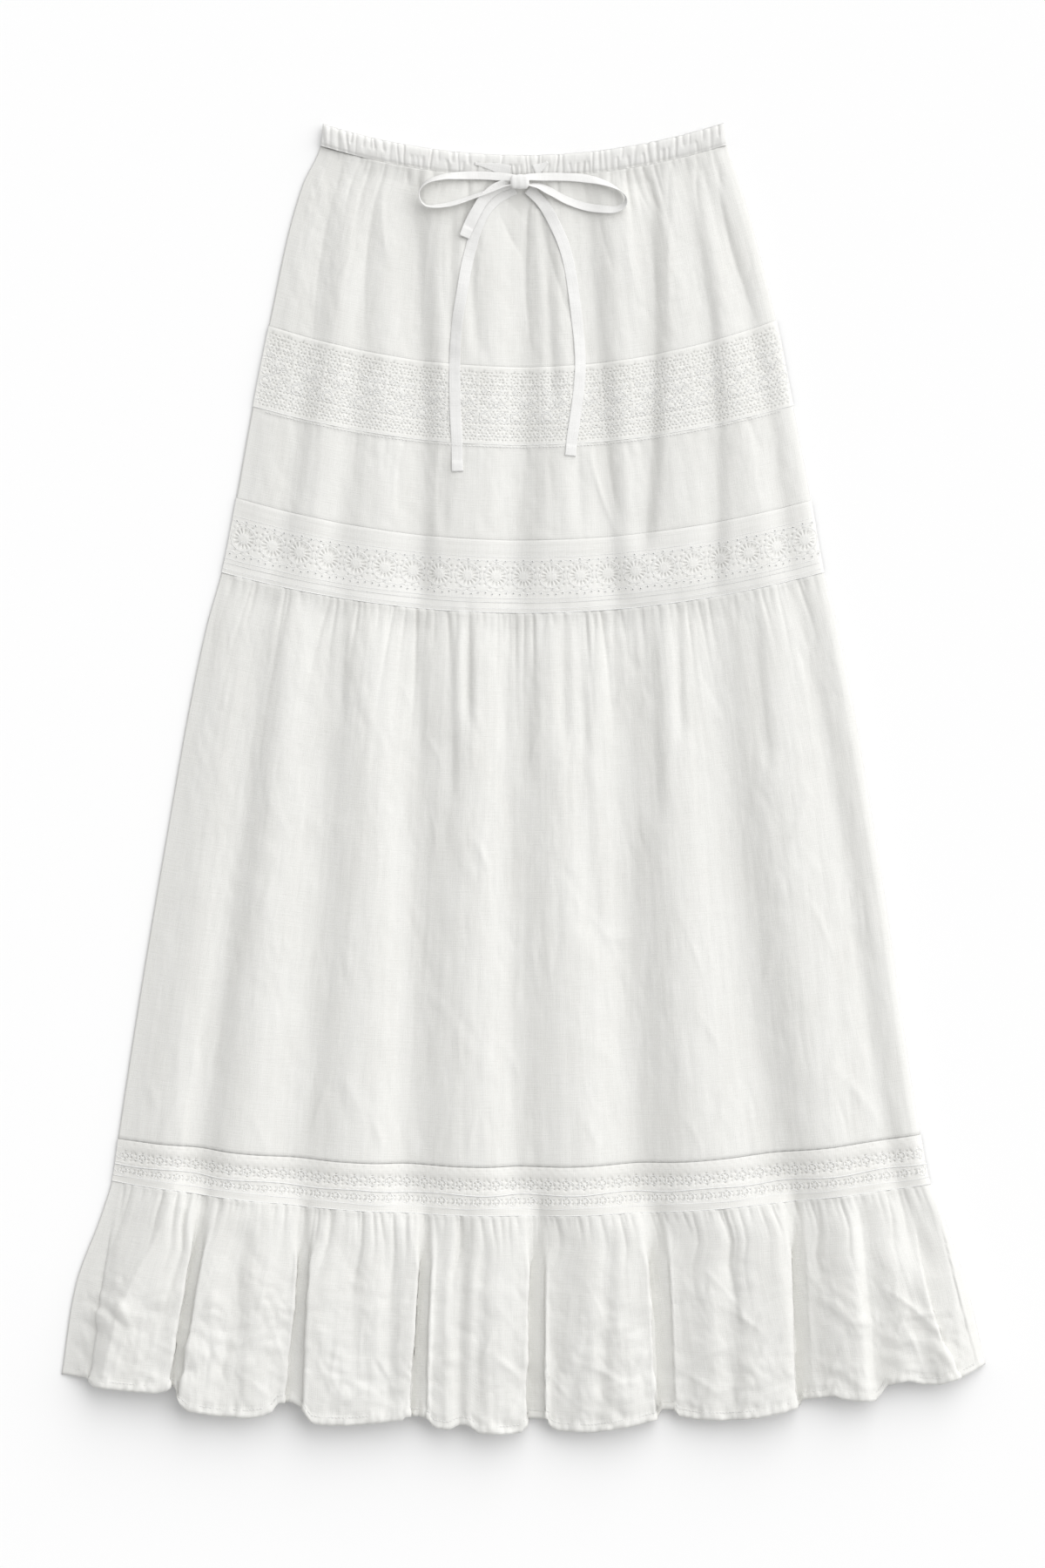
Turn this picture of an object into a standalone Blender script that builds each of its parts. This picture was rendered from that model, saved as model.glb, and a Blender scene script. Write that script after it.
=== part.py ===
"""Tiered ruffle maxi skirt in white cotton, laid flat on its back.

The skirt is a tube pressed flat: the back panels lie on the surface, the front panels lie on
them in soft folds, and the two meet along the side folds. X runs across the skirt, Y up its
length to the waist, Z up from the surface. Lengths in the tables are millimetres.
"""
import math
from collections import namedtuple

import bmesh
import bpy
import numpy as np

MM = 0.001

# Driving dimensions, in millimetres.
CLOTH = 1.2             # thickness of every cloth wall
SEAM_GAP = 0.3          # between neighbouring pieces
BAND_DEEP = 16.5        # waist casing, top to seam
BAND_THICK = 3.2        # half of the casing: two layers of cloth round the elastic
WAIST_Y = 462.7         # middle of the waist's top edge, from the skirt's own middle
BACK_HEM_RISE = 13.0    # how much higher the back's hem lies, away from the sides
BACK_HEM_POWER = 8      # how close to the sides it comes down again
HEM_LINE_POWER = 2.5    # how late on the ruffle its hem line sets in
VALLEY_TUCK = 2.0       # how far a valley is drawn up on the lower tier
TUCK_START = 600.0      # drop from which the valleys are drawn up
TUCK_FADE = 160.0       # length over which they are drawn up in full
SIDE_ROLL = 3.5         # radius over which the front rolls down to the side seam
SIDE_SLOPE = 27.0       # width of the slope beside the side seam
SIDE_DROP = 0.92        # share of its height that the front loses on that slope
SIDE_BEND = 1.2         # power of that slope's profile: 1 is straight
SIDE_FILL = 1.5         # how soon the valleys fill up on the roll beside the side seam
BACK_ROLL = 3.2         # radius over which the back curls up to the side seam
SIDE_SEAM_Z = 3.9       # height of the side seam above the surface
FOLD_FADE = 32.0        # length over which a fold dies out at its ends
BAND_GATHERS = 44       # across the front of the casing
BAND_EDGE = 0.6         # least thickness of half the casing, at its ends
BAND_BULGE = 0.5        # how far a gather stands above the casing's thickness
BAND_SHARE = 0.7        # mean height of the casing's gathers, as a share of the highest
BACK_COLUMNS = 13       # points across the flat stretch of a back panel
FINE_COLUMNS = 2401     # places at which the front's width is measured
SHARP_ANGLE = 50.0      # degrees; a wall's skins stay smooth and its rims are sharp
TAPE_WIDE = 8.5
TAPE_THICK = 1.0

CLOTH_COLOUR = (0.86, 0.85, 0.83, 1.0)
LACE_COLOUR = (0.83, 0.82, 0.79, 1.0)
TAPE_COLOUR = (0.88, 0.87, 0.85, 1.0)

# Lowest height of the front cloth's middle surface: it rests on the back panel there.
FRONT_FLOOR = CLOTH + SEAM_GAP + CLOTH / 2

# The skirt's outline, level by level. drop: distance down the middle from the waist's top edge;
# left, right: half widths; rise_left, rise_right: how much higher the sides lie than the
# middle; lift: height of the fold crests above the surface.
Level = namedtuple("Level", "name drop left right rise_left rise_right lift")
LEVELS = [
    Level("waist top", 0.0, 148.6, 149.2, 23.3, 23.9, 5.2),
    Level("waist seam", BAND_DEEP, 150.3, 151.5, 23.3, 23.9, 5.2),
    Level("below the waist", 47.2, 163.8, 161.2, 24.6, 25.9, 7.6),
    Level("upper lace top", 157.7, 188.7, 188.1, 31.0, 34.9, 9.0),
    Level("upper lace foot", 215.9, 200.7, 200.7, 29.1, 29.7, 9.0),
    Level("middle lace top", 286.3, 212.9, 213.9, 31.7, 29.7, 9.6),
    Level("middle lace foot", 340.6, 223.9, 223.6, 30.4, 30.4, 9.6),
    Level("top of the lower tier", 380.0, 234.9, 233.6, 30.4, 30.4, 13.5),
    Level("lower tier middle", 544.8, 266.6, 263.7, 27.1, 27.1, 16.0),
    Level("lower lace top", 752.2, 300.8, 295.3, 21.3, 24.6, 16.5),
    Level("lower lace foot", 788.4, 305.4, 302.8, 25.9, 23.9, 16.5),
    Level("top of the ruffle", 809.8, 312.0, 311.2, 25.9, 23.9, 18.0),
    Level("ruffle middle", 867.9, 331.2, 328.6, 32.3, 32.3, 20.5),
    Level("hem", 949.5, 342.8, 343.8, 43.3, 51.1, 20.0),
]
DROP = {level.name: level.drop for level in LEVELS}

# The folds' valleys on the front. start, end: drops between which a valley runs; x_start,
# x_middle, x_end: its place across the skirt; depth: share of the crest's height that it
# loses; wide_left, wide_right: from its bottom to its flanks.
Fold = namedtuple("Fold", "start end x_start x_middle x_end depth wide_left wide_right")
UPPER_FOLDS = [
    Fold(120, 350, -186, -208, -234, 0.35, 9.0, 8.0),
    Fold(16, 350, -140, -163, -186, 0.65, 13.0, 13.0),
    Fold(16, 350, -116, -124, -146, 0.55, 11.0, 15.0),
    Fold(16, 350, -85, -75, -79, 0.95, 20.0, 10.0),
    Fold(40, 170, -46, -45, -43, 0.30, 6.0, 6.0),
    Fold(16, 350, -9, -4, -13, 0.90, 16.0, 16.0),
    Fold(16, 350, 44, 58, 68, 0.80, 18.0, 10.0),
    Fold(16, 310, 92, 96, 86, 0.80, 16.0, 9.0),
    Fold(16, 350, 116, 141, 141, 0.55, 13.0, 7.0),
    Fold(16, 350, 128, 176, 200, 0.55, 11.0, 7.0),
]
LOWER_FOLDS = [
    Fold(325, 490, -53, -52, -53, 0.35, 6.5, 6.0),
    Fold(325, 510, 92, 96, 100, 0.40, 12.0, 7.0),
    Fold(325, 800, -232, -272, -312, 0.30, 12.0, 12.0),
    Fold(325, 800, -188, -220, -249, 0.60, 22.0, 20.0),
    Fold(325, 800, -146, -153, -177, 0.50, 24.0, 20.0),
    Fold(325, 800, -81, -82, -85, 0.62, 22.0, 21.0),
    Fold(325, 800, -14, -9, 0, 0.50, 17.0, 17.0),
    Fold(325, 600, 36, 44, 56, 0.22, 12.0, 8.0),
    Fold(325, 800, 71, 74, 84, 0.72, 28.0, 28.0),
    Fold(325, 800, 139, 160, 192, 0.66, 30.0, 28.0),
    Fold(325, 800, 200, 238, 280, 0.32, 14.0, 14.0),
]
RUFFLE_FOLDS = [
    Fold(770, 980, -300, -313, -330, 0.28, 20.0, 9.0),
    Fold(790, 980, -206, -214, -219, 0.17, 14.0, 8.0),
    Fold(790, 930, -131, -124, -118, 0.10, 12.0, 8.0),
    Fold(780, 960, -94, -98, -100, 0.13, 8.0, 7.0),
    Fold(775, 980, -43, -47, -47, 0.28, 7.0, 7.0),
    Fold(790, 980, -28, -33, -36, 0.14, 6.0, 6.0),
    Fold(780, 980, 18, 20, 22, 0.53, 6.0, 24.0),
    Fold(790, 980, 66, 60, 54, 0.14, 8.0, 6.0),
    Fold(780, 980, 110, 113, 116, 0.53, 6.0, 24.0),
    Fold(800, 980, 154, 154, 154, 0.22, 10.0, 9.0),
    Fold(770, 980, 204, 208, 214, 0.59, 8.0, 24.0),
    Fold(780, 980, 248, 258, 264, 0.49, 6.0, 20.0),
    Fold(790, 980, 286, 302, 316, 0.35, 16.0, 14.0),
]
# The recesses between the ruffle's lobes. open_start, open_middle, open_end: distance between
# the lips of the two lobes; left, right: share of the crest's height lost beside each of them.
Recess = namedtuple(
    "Recess", "start end x_start x_middle x_end open_start open_middle open_end left right")
RECESSES = [
    Recess(760, 980, -319, -337, -348, 50, 50, 50, 0.40, 0.40),
    Recess(760, 980, -228, -248.5, -262, 8, 9, 5, 0.62, 0.30),
    Recess(760, 980, -159, -165.5, -172, 13, 10, 18, 0.66, 0.28),
    Recess(765, 980, -68, -75, -78, 10, 11, 15, 0.66, 0.28),
    Recess(760, 980, 13, 10, 9.5, 11, 13.5, 15, 0.97, 0.64),
    Recess(760, 980, 97, 103, 106.5, 17, 16, 15, 0.97, 0.64),
    Recess(760, 980, 202, 206, 210, 11, 12, 13, 0.97, 0.66),
    Recess(780, 980, 284, 312, 334, 8, 14, 7, 0.25, 0.25),
]
# The ruffle's hem line. x: place across the skirt; rise: how far it lies above its level.
HemPoint = namedtuple("HemPoint", "x rise")
HEM_LINE = [
    HemPoint(-344, 0.0), HemPoint(-318, -1.5), HemPoint(-291, 0.6), HemPoint(-266, 5.0),
    HemPoint(-260, 11.0), HemPoint(-255, 0.0), HemPoint(-248, -5.8), HemPoint(-226, -5.5),
    HemPoint(-198, -1.5), HemPoint(-182, 10.0), HemPoint(-172, 13.0), HemPoint(-163, 8.0),
    HemPoint(-156, -0.8), HemPoint(-130, 0.3), HemPoint(-104, 4.8), HemPoint(-87, 10.5),
    HemPoint(-71, 10.7), HemPoint(-64, 3.0), HemPoint(-44, 6.0), HemPoint(-33, 0.3),
    HemPoint(-1, 1.3), HemPoint(4, 11.3), HemPoint(18, 11.0), HemPoint(25, 2.5),
    HemPoint(51, 0.0), HemPoint(77, 2.6), HemPoint(98, 6.5), HemPoint(103, 13.0),
    HemPoint(114, 12.0), HemPoint(129, 3.6), HemPoint(148, 0.6), HemPoint(194, 0.0),
    HemPoint(208, 6.5), HemPoint(232, 5.0), HemPoint(248, -2.3), HemPoint(261, -5.2),
    HemPoint(270, 4.2), HemPoint(286, 4.0), HemPoint(310, -4.8), HemPoint(332, -2.6),
    HemPoint(344, 0.6),
]
FOLDS = UPPER_FOLDS + LOWER_FOLDS + RUFFLE_FOLDS
FLANK_TOP = 6.0         # softness of a recess's flanks at the ruffle's seam
FLANK_FOOT = 0.6        # and lower down
FLANK_FADE = 42.0       # length over which the flanks turn steep
LIP_ROOM = 1.4          # from a lip to the points that hold its steep flank, on either side
LOBE_STEP = 5.6         # distance between points across the ruffle, at its hem
RECESS_START = 0.85     # share of its depth that a recess has at the ruffle's seam

# Small gathers where a fuller tier is drawn into the band above it. start: drop of the seam;
# count: gathers across the front; height: half of a gather's height; reach: how far they run.
Gather = namedtuple("Gather", "start count height reach")
GATHERS = [
    Gather(DROP["waist seam"], 38, 0.9, 45.0),
    Gather(DROP["middle lace foot"], 36, 1.4, 60.0),
    Gather(DROP["lower lace foot"], 40, 1.9, 55.0),
]
GATHER_SHARE = 0.75     # mean height of a gather, as a share of the highest
GATHER_POWER = 1.5      # how soon it loses its height below the seam

# What makes the gathers uneven. amount: share of the skirt's half width, or of a gather's
# height; rate: radians over that half width; start: radians at the middle.
Sway = namedtuple("Sway", "amount rate start")
GATHER_SPACING = [Sway(0.006, 23.0, 0.0), Sway(0.004, 61.0, 1.0)]
GATHER_SWELL = [Sway(0.25, 17.0, 2.0)]
BAND_SPACING = [Sway(0.006, 31.0, 0.0)]
BAND_SWELL = [Sway(0.3, 19.0, 0.0)]

# The panels from waist to hem. shares: places of the front's sections between its seams;
# columns: points across each of those sections. The ruffle's follow its lobes.
Panel = namedtuple("Panel", "name top foot colour shares columns")
PANELS = [
    Panel("upper_tier", "waist seam", "upper lace top", CLOTH_COLOUR,
          (0.0, 0.13, 0.33, 0.65, 1.0), (136, 136, 76, 70, 70)),
    Panel("lace_upper", "upper lace top", "upper lace foot", LACE_COLOUR,
          (0.0, 0.5, 1.0), (70, 70, 70)),
    Panel("middle_tier", "upper lace foot", "middle lace top", CLOTH_COLOUR,
          (0.0, 0.3, 0.65, 1.0), (72, 72, 72, 72)),
    Panel("lace_middle", "middle lace top", "middle lace foot", LACE_COLOUR,
          (0.0, 0.5, 1.0), (72, 72, 72)),
    Panel("lower_tier", "middle lace foot", "lower lace top", CLOTH_COLOUR,
          (0.0, 0.06, 0.15, 0.32, 0.55, 0.78, 1.0), (128, 128, 90, 80, 80, 80, 80)),
    Panel("lace_lower", "lower lace top", "lower lace foot", LACE_COLOUR,
          (0.0, 0.5, 1.0), (80, 80, 80)),
    Panel("hem_ruffle", "lower lace foot", "hem", CLOTH_COLOUR,
          (0.0, 0.1, 0.24, 0.45, 0.72, 1.0), ()),
]

# The bow. Stations of each tape: x, y, lean in degrees from flat, raise above the cloth.
KNOT_PLACE = (-2.3, 442.4, 12.0)
KNOT_SIZE = (13.0, 11.0, 6.6)
TAPES = {
    "tie_run_left": [(-35.9, 456.3, 0, 0), (-26.2, 454.3, 0, 0), (-15.8, 452.1, 0, 0), (-9.5, 450.6, 0, 0)],
    "tie_run_right": [(18.4, 457.4, 0, 0), (15.4, 454.9, 0, 0), (11.3, 452.5, 0, 0), (8.2, 451.2, 0, 0)],
    "tie_loop_left": [
        (-9.6, 445.7, -62, 1.4), (-18.4, 446.5, -45, 1.4), (-31.3, 447.2, -38, 1.2),
        (-45.6, 447.2, -45, 0.6), (-58.5, 446.2, -60, 0), (-70.1, 442.7, -75, 0),
        (-76.3, 436.9, -80, 0), (-76.6, 430.4, -80, 0), (-72.1, 424.9, -80, 0),
        (-63.0, 424.3, -80, 0), (-52.0, 426.2, -80, 0), (-39.1, 430.4, -80, 0.4),
        (-24.9, 435.6, -78, 0.8), (-15.8, 438.9, -78, 1.3), (-9.6, 440.3, -80, 1.4),
    ],
    "tie_loop_right": [
        (5.0, 446.0, 78, 1.4), (13.9, 446.2, 75, 1.4), (28.8, 446.2, 75, 1.0),
        (43.6, 445.3, 75, 0.4), (57.8, 442.4, 78, 0), (69.5, 437.5, 80, 0),
        (75.9, 431.7, 85, 0), (75.6, 425.9, 70, 0), (68.8, 422.0, 50, 0),
        (57.8, 422.3, 40, 0), (44.9, 424.6, 38, 0), (32.0, 429.1, 42, 0.4),
        (20.4, 435.3, 55, 0.8), (12.0, 439.2, 68, 1.3), (5.0, 440.4, 75, 1.4),
    ],
    "tie_end_short": [
        (-9.6, 434.6, 0, 2.6), (-16.0, 432.6, 0, 2.3), (-25.0, 428.6, 0, 1.9),
        (-32.6, 420.0, 0, 1.6), (-38.3, 411.5, 0, 1.5), (-42.3, 403.4, 0, 1.5),
    ],
    "tie_tail_left": [
        (-4.6, 435.6, 0, 0), (-10.2, 431.0, 0, 0), (-18.5, 425.0, 0, 0), (-27.0, 417.0, 0, 0),
        (-34.0, 406.5, 0, 0), (-39.0, 394.2, 0, 0), (-43.2, 378.1, 0, 0), (-46.0, 360.6, 0, 0),
        (-48.8, 338.0, 0, 0), (-50.4, 315.4, 0, 0), (-50.7, 292.8, 0, 0), (-50.1, 270.1, 0, 0),
        (-49.1, 250.7, 0, 0), (-48.8, 234.6, 0, 0), (-48.5, 227.5, 0, 0),
    ],
    "tie_tail_right": [
        (4.6, 434.6, 40, 1.0), (8.7, 432.4, 45, 0.8), (13.9, 427.5, 45, 0.5),
        (18.8, 420.1, 40, 0.2), (23.4, 409.1, 30, 0), (28.9, 393.6, 20, 0),
        (33.7, 379.4, 12, 0), (37.6, 360.6, 5, 0), (40.6, 341.2, 0, 0), (42.4, 321.8, 0, 0),
        (42.6, 305.7, 0, 0), (41.5, 288.2, 0, 0), (39.2, 270.1, 0, 0), (36.8, 254.0, 0, 0),
        (35.2, 239.1, 0, 0),
    ],
}


def smooth_step(value):
    """0 below 0, 1 above 1 and a soft ramp between."""
    value = np.clip(value, 0.0, 1.0)
    return value * value * (3.0 - 2.0 * value)


def column_at(column, drop):
    """A column of LEVELS at any drop, on a smooth curve through the levels."""
    drops = [level.drop for level in LEVELS]
    values = [getattr(level, column) for level in LEVELS]
    slopes = np.diff(values) / np.diff(drops)
    i = int(np.clip(np.searchsorted(drops, drop) - 1, 0, len(drops) - 2))
    span = drops[i + 1] - drops[i]
    t = (drop - drops[i]) / span
    before = slopes[max(i - 1, 0)]
    after = slopes[min(i + 1, len(slopes) - 1)]
    tangent_0 = 0.5 * (before + slopes[i]) if before * slopes[i] > 0 else 0.0
    tangent_1 = 0.5 * (after + slopes[i]) if after * slopes[i] > 0 else 0.0
    return (
        (2 * t**3 - 3 * t**2 + 1) * values[i]
        + (t**3 - 2 * t**2 + t) * span * tangent_0
        + (3 * t**2 - 2 * t**3) * values[i + 1]
        + (t**3 - t**2) * span * tangent_1
    )


def plan_point(across, drop):
    """Place in the plane of the surface; across runs from -1 at the left side to 1."""
    half = np.where(across < 0, column_at("left", drop), column_at("right", drop))
    rise = np.where(across < 0, column_at("rise_left", drop), column_at("rise_right", drop))
    return across * half, WAIST_Y - drop + rise * across**2


def side_share(across, drop, roll):
    """0 over the skirt and 1 at its side, along the last stretch that is roll long."""
    half = np.where(across < 0, column_at("left", drop), column_at("right", drop))
    return np.clip(1.0 - (1.0 - np.abs(across)) * half / roll, 0.0, 1.0)


def bend(start, middle, end, t):
    """Three values along a stretch, on one smooth curve."""
    return start * (2 * t - 1) * (t - 1) + middle * 4 * t * (1 - t) + end * t * (2 * t - 1)


def fold_share(fold, x, drop):
    """1 at the bottom of a fold's valley, falling to 0 beside it."""
    t = (drop - fold.start) / (fold.end - fold.start)
    aside = x - bend(fold.x_start, fold.x_middle, fold.x_end, t)
    wide = np.where(aside < 0, fold.wide_left, fold.wide_right)
    return np.exp(-((aside / wide) ** 2))


def crest_share(x, drop):
    """1 on a fold's crest and less in the valleys."""
    share = np.ones_like(x)
    for fold in FOLDS:
        fade_in = smooth_step((drop - fold.start) / FOLD_FADE)
        fade_out = smooth_step((fold.end - drop) / FOLD_FADE)
        strength = fold.depth * fade_in * fade_out
        if strength > 0.0:
            share = share * (1.0 - strength * fold_share(fold, x, drop))
    return share


def recess_opening(recess, drop):
    """Middle of a recess, and half of the distance between its lips."""
    t = (drop - recess.start) / (recess.end - recess.start)
    middle = bend(recess.x_start, recess.x_middle, recess.x_end, t)
    return middle, bend(recess.open_start, recess.open_middle, recess.open_end, t) / 2


def recessed(share, x, drop):
    """Crest shares with the recesses let in, each with a slanting bottom."""
    opened = smooth_step((drop - DROP["lower lace foot"]) / FLANK_FADE)
    soft = FLANK_TOP + (FLANK_FOOT - FLANK_TOP) * opened
    deep = RECESS_START + (1.0 - RECESS_START) * opened
    inside, bottom = np.zeros_like(x), np.ones_like(x)
    for recess in RECESSES:
        fade = smooth_step((drop - recess.start) / FOLD_FADE)
        if fade <= 0.0:
            continue
        middle, half = recess_opening(recess, drop)
        aside = x - middle
        within = 0.5 * (1.0 - np.tanh((np.abs(aside) - half) / soft)) * fade
        slant = np.clip(0.5 + 0.5 * aside / half, 0.0, 1.0)
        lost = recess.left + (recess.right - recess.left) * slant
        bottom = np.where(within > inside, 1.0 - deep * lost, bottom)
        inside = np.maximum(inside, within)
    return share + (bottom - share) * inside


def sway(waves, across):
    """Sum of waves at places across the skirt."""
    return sum(wave.amount * np.sin(wave.rate * across + wave.start) for wave in waves)


def gather_height(across, drop):
    """Height that the small gathers add below a seam."""
    height = np.zeros_like(across)
    for gather in GATHERS:
        along = (drop - gather.start) / gather.reach
        if not 0.0 <= along < 1.0:
            continue
        uneven = across + sway(GATHER_SPACING, across)
        wave = np.cos(math.pi * gather.count * (uneven + 1.0))
        swell = GATHER_SHARE + sway(GATHER_SWELL, across)
        height = height + gather.height * (1.0 - along) ** GATHER_POWER * swell * wave
    return height


def hem_share(drop):
    """0 down to the ruffle's seam and 1 at the hem."""
    return smooth_step((drop - DROP["lower lace foot"]) / (DROP["hem"] - DROP["lower lace foot"]))


def front_surface(across, drop):
    """Middle surface of the front cloth, as an array of points."""
    across = np.asarray(across, dtype=float)
    x, y = plan_point(across, drop)
    side = side_share(across, drop, SIDE_ROLL)
    slope = side_share(across, drop, SIDE_SLOPE)
    crest = crest_share(x, drop)
    share = recessed(crest, x, drop)
    share = 1.0 - (1.0 - share) * (1.0 - smooth_step(side * SIDE_FILL))
    lift = column_at("lift", drop)
    height = FRONT_FLOOR + (lift - FRONT_FLOOR) * share
    height = np.maximum(height + gather_height(across, drop), FRONT_FLOOR)
    seam = SIDE_SEAM_Z + SEAM_GAP / 2
    kept = 1.0 - SIDE_DROP * slope**SIDE_BEND
    height = seam + (height - seam) * kept * np.sqrt(1.0 - side**2)
    ruffle = hem_share(drop)
    lower = smooth_step((drop - TUCK_START) / TUCK_FADE)
    y = y + ruffle**HEM_LINE_POWER * np.interp(x, *np.transpose(HEM_LINE))
    y = y + VALLEY_TUCK * lower * (1.0 - crest) * (1.0 - ruffle)
    return np.stack([x, y, height], axis=-1)


def back_surface(across, drop):
    """Middle surface of the back cloth: flat, curling up to the seam at both sides."""
    across = np.asarray(across, dtype=float)
    x, y = plan_point(across, drop)
    side = side_share(across, drop, BACK_ROLL)
    curl = SIDE_SEAM_Z - SEAM_GAP / 2 - CLOTH / 2
    height = CLOTH / 2 + curl * (1.0 - np.sqrt(1.0 - side**2))
    y = y + BACK_HEM_RISE * hem_share(drop) ** 2 * (1.0 - across**BACK_HEM_POWER)
    return np.stack([x, y, height], axis=-1)


def normals_of(surface, across, drop, seam_row):
    """Unit normals of a surface; level across the seams and at the sides."""
    step = 1e-4
    inner = np.clip(across, -1.0 + step, 1.0 - step)
    along_x = surface(inner + step, drop) - surface(inner - step, drop)
    along_y = surface(across, drop - 0.2) - surface(across, drop + 0.2)
    if seam_row:
        along_y[:, 2] = 0.0
    normal = np.cross(along_x, along_y)
    if seam_row:
        normal[:, 1] = 0.0
    ends = np.abs(across) > 1.0 - 1e-9
    normal[ends, 0] = np.sign(normal[ends, 0])
    normal[ends, 1:] = 0.0
    return normal / np.linalg.norm(normal, axis=1, keepdims=True)


def even_columns(surface, drop, count):
    """Places across the panel that divide its cloth evenly, with both sides kept."""
    fine = np.linspace(-1.0, 1.0, FINE_COLUMNS)
    points = surface(fine, drop)
    length = np.linalg.norm(np.diff(points[:, [0, 2]], axis=0), axis=1)
    walked = np.concatenate([[0.0], np.cumsum(length)])
    return np.interp(np.linspace(0.0, walked[-1], count), walked, fine)


def lip_places(drop):
    """The ruffle's sides and, between them, two places at every lip of a recess."""
    left, right = -column_at("left", drop), column_at("right", drop)
    places = [left]
    for recess in RECESSES:
        middle, half = recess_opening(recess, drop)
        for lip in (middle - half, middle + half):
            if lip - LIP_ROOM > left:
                places += [lip - LIP_ROOM, lip + LIP_ROOM]
    return np.array([*places, right])


def ruffle_columns(drop):
    """Places across the ruffle: those at the lips, and even steps between them."""
    places = lip_places(drop)
    steps = np.maximum(np.round(np.diff(lip_places(DROP["hem"])) / LOBE_STEP), 1.0).astype(int)
    made = [places[:1]]
    for first, last, count in zip(places, places[1:], steps):
        made.append(np.linspace(first, last, count + 1)[1:])
    x = np.concatenate(made)
    return x / np.where(x < 0, column_at("left", drop), column_at("right", drop))


def front_columns(panel, drops):
    """Places across each section of a front panel."""
    if panel.name == "hem_ruffle":
        return [ruffle_columns(drop) for drop in drops]
    return [even_columns(front_surface, drop, n) for drop, n in zip(drops, panel.columns)]


def bridge(mesh, row_a, row_b, flip):
    """Triangles between two rows of vertices, each running from left to right."""
    i, j = 0, 0
    while i < len(row_a) - 1 or j < len(row_b) - 1:
        share_a = (i + 1) / (len(row_a) - 1) if i < len(row_a) - 1 else 2.0
        share_b = (j + 1) / (len(row_b) - 1) if j < len(row_b) - 1 else 2.0
        if share_a <= share_b:
            face = [row_a[i], row_b[j], row_a[i + 1]]
            i += 1
        else:
            face = [row_a[i], row_b[j], row_b[j + 1]]
            j += 1
        mesh.faces.new(face[::-1] if flip else face)


def add_object(name, mesh, colour):
    """Finish a bmesh as one named object with a material of its own."""
    bmesh.ops.scale(mesh, vec=(MM, MM, MM), verts=mesh.verts)
    data = bpy.data.meshes.new(name)
    mesh.to_mesh(data)
    mesh.free()
    data.shade_smooth()
    data.set_sharp_from_angle(angle=math.radians(SHARP_ANGLE))
    material = bpy.data.materials.new(name)
    material.use_nodes = True
    shader = material.node_tree.nodes["Principled BSDF"]
    shader.inputs["Base Color"].default_value = colour
    shader.inputs["Roughness"].default_value = 0.9
    shader.inputs["Metallic"].default_value = 0.0
    data.materials.append(material)
    item = bpy.data.objects.new(name, data)
    bpy.context.scene.collection.objects.link(item)
    return item


def close_wall(mesh, outer, inner):
    """Faces of a wall whose outer and inner skins are rows of vertices, top to foot."""
    for skin, flip in ((outer, False), (inner, True)):
        for row, next_row in zip(skin, skin[1:]):
            bridge(mesh, row, next_row, flip)
    bridge(mesh, inner[0], outer[0], False)
    bridge(mesh, outer[-1], inner[-1], False)
    for end in (0, -1):
        outer_edge = [row[end] for row in outer]
        inner_edge = [row[end] for row in inner]
        bridge(mesh, outer_edge, inner_edge, end == -1)


def cloth_panel(name, surface, rows, colour):
    """A wall of cloth on a surface. rows: each section's drop and its places across."""
    mesh = bmesh.new()
    outer, inner = [], []
    for k, (drop, across) in enumerate(rows):
        points = surface(across, drop)
        normals = normals_of(surface, across, drop, seam_row=k in (0, len(rows) - 1))
        outer.append([mesh.verts.new(p) for p in points + normals * CLOTH / 2])
        inner.append([mesh.verts.new(p) for p in points - normals * CLOTH / 2])
    close_wall(mesh, outer, inner)
    return add_object(name, mesh, colour)


def back_columns(drop):
    """Places across a back panel: its flat stretch, then the curl at each side."""
    half = column_at("left", drop)
    curl = 1.0 - BACK_ROLL / half * (1.0 - np.sin(np.radians([0.0, 30.0, 60.0, 90.0])))
    flat = np.linspace(-curl[0], curl[0], BACK_COLUMNS)
    return np.concatenate([-curl[:0:-1], flat, curl[1:]])


def build_panels():
    """The tiers, lace bands and ruffle, front and back."""
    for panel in PANELS:
        first = DROP[panel.top] + SEAM_GAP / 2
        last = DROP[panel.foot] - SEAM_GAP / 2
        drops = [first + (last - first) * share for share in panel.shares]
        front = list(zip(drops, front_columns(panel, drops)))
        cloth_panel(panel.name + "_front", front_surface, front, panel.colour)
        back_drops = drops if len(drops) < 4 else drops[::2] + [last] * (len(drops) % 2 == 0)
        back = [(drop, back_columns(drop)) for drop in back_drops]
        cloth_panel(panel.name + "_back", back_surface, back, panel.colour)


def band_columns(count):
    """Even places across the casing, closer together where its ends roll down."""
    rolled = 1.0 - BAND_THICK / LEVELS[0].left * (1.0 - np.sin(np.radians([0.0, 30.0, 60.0])))
    even = np.linspace(-rolled[0], rolled[0], count - 6)
    return np.concatenate([[-1.0], -rolled[:0:-1], even, rolled[1:], [1.0]])


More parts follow.
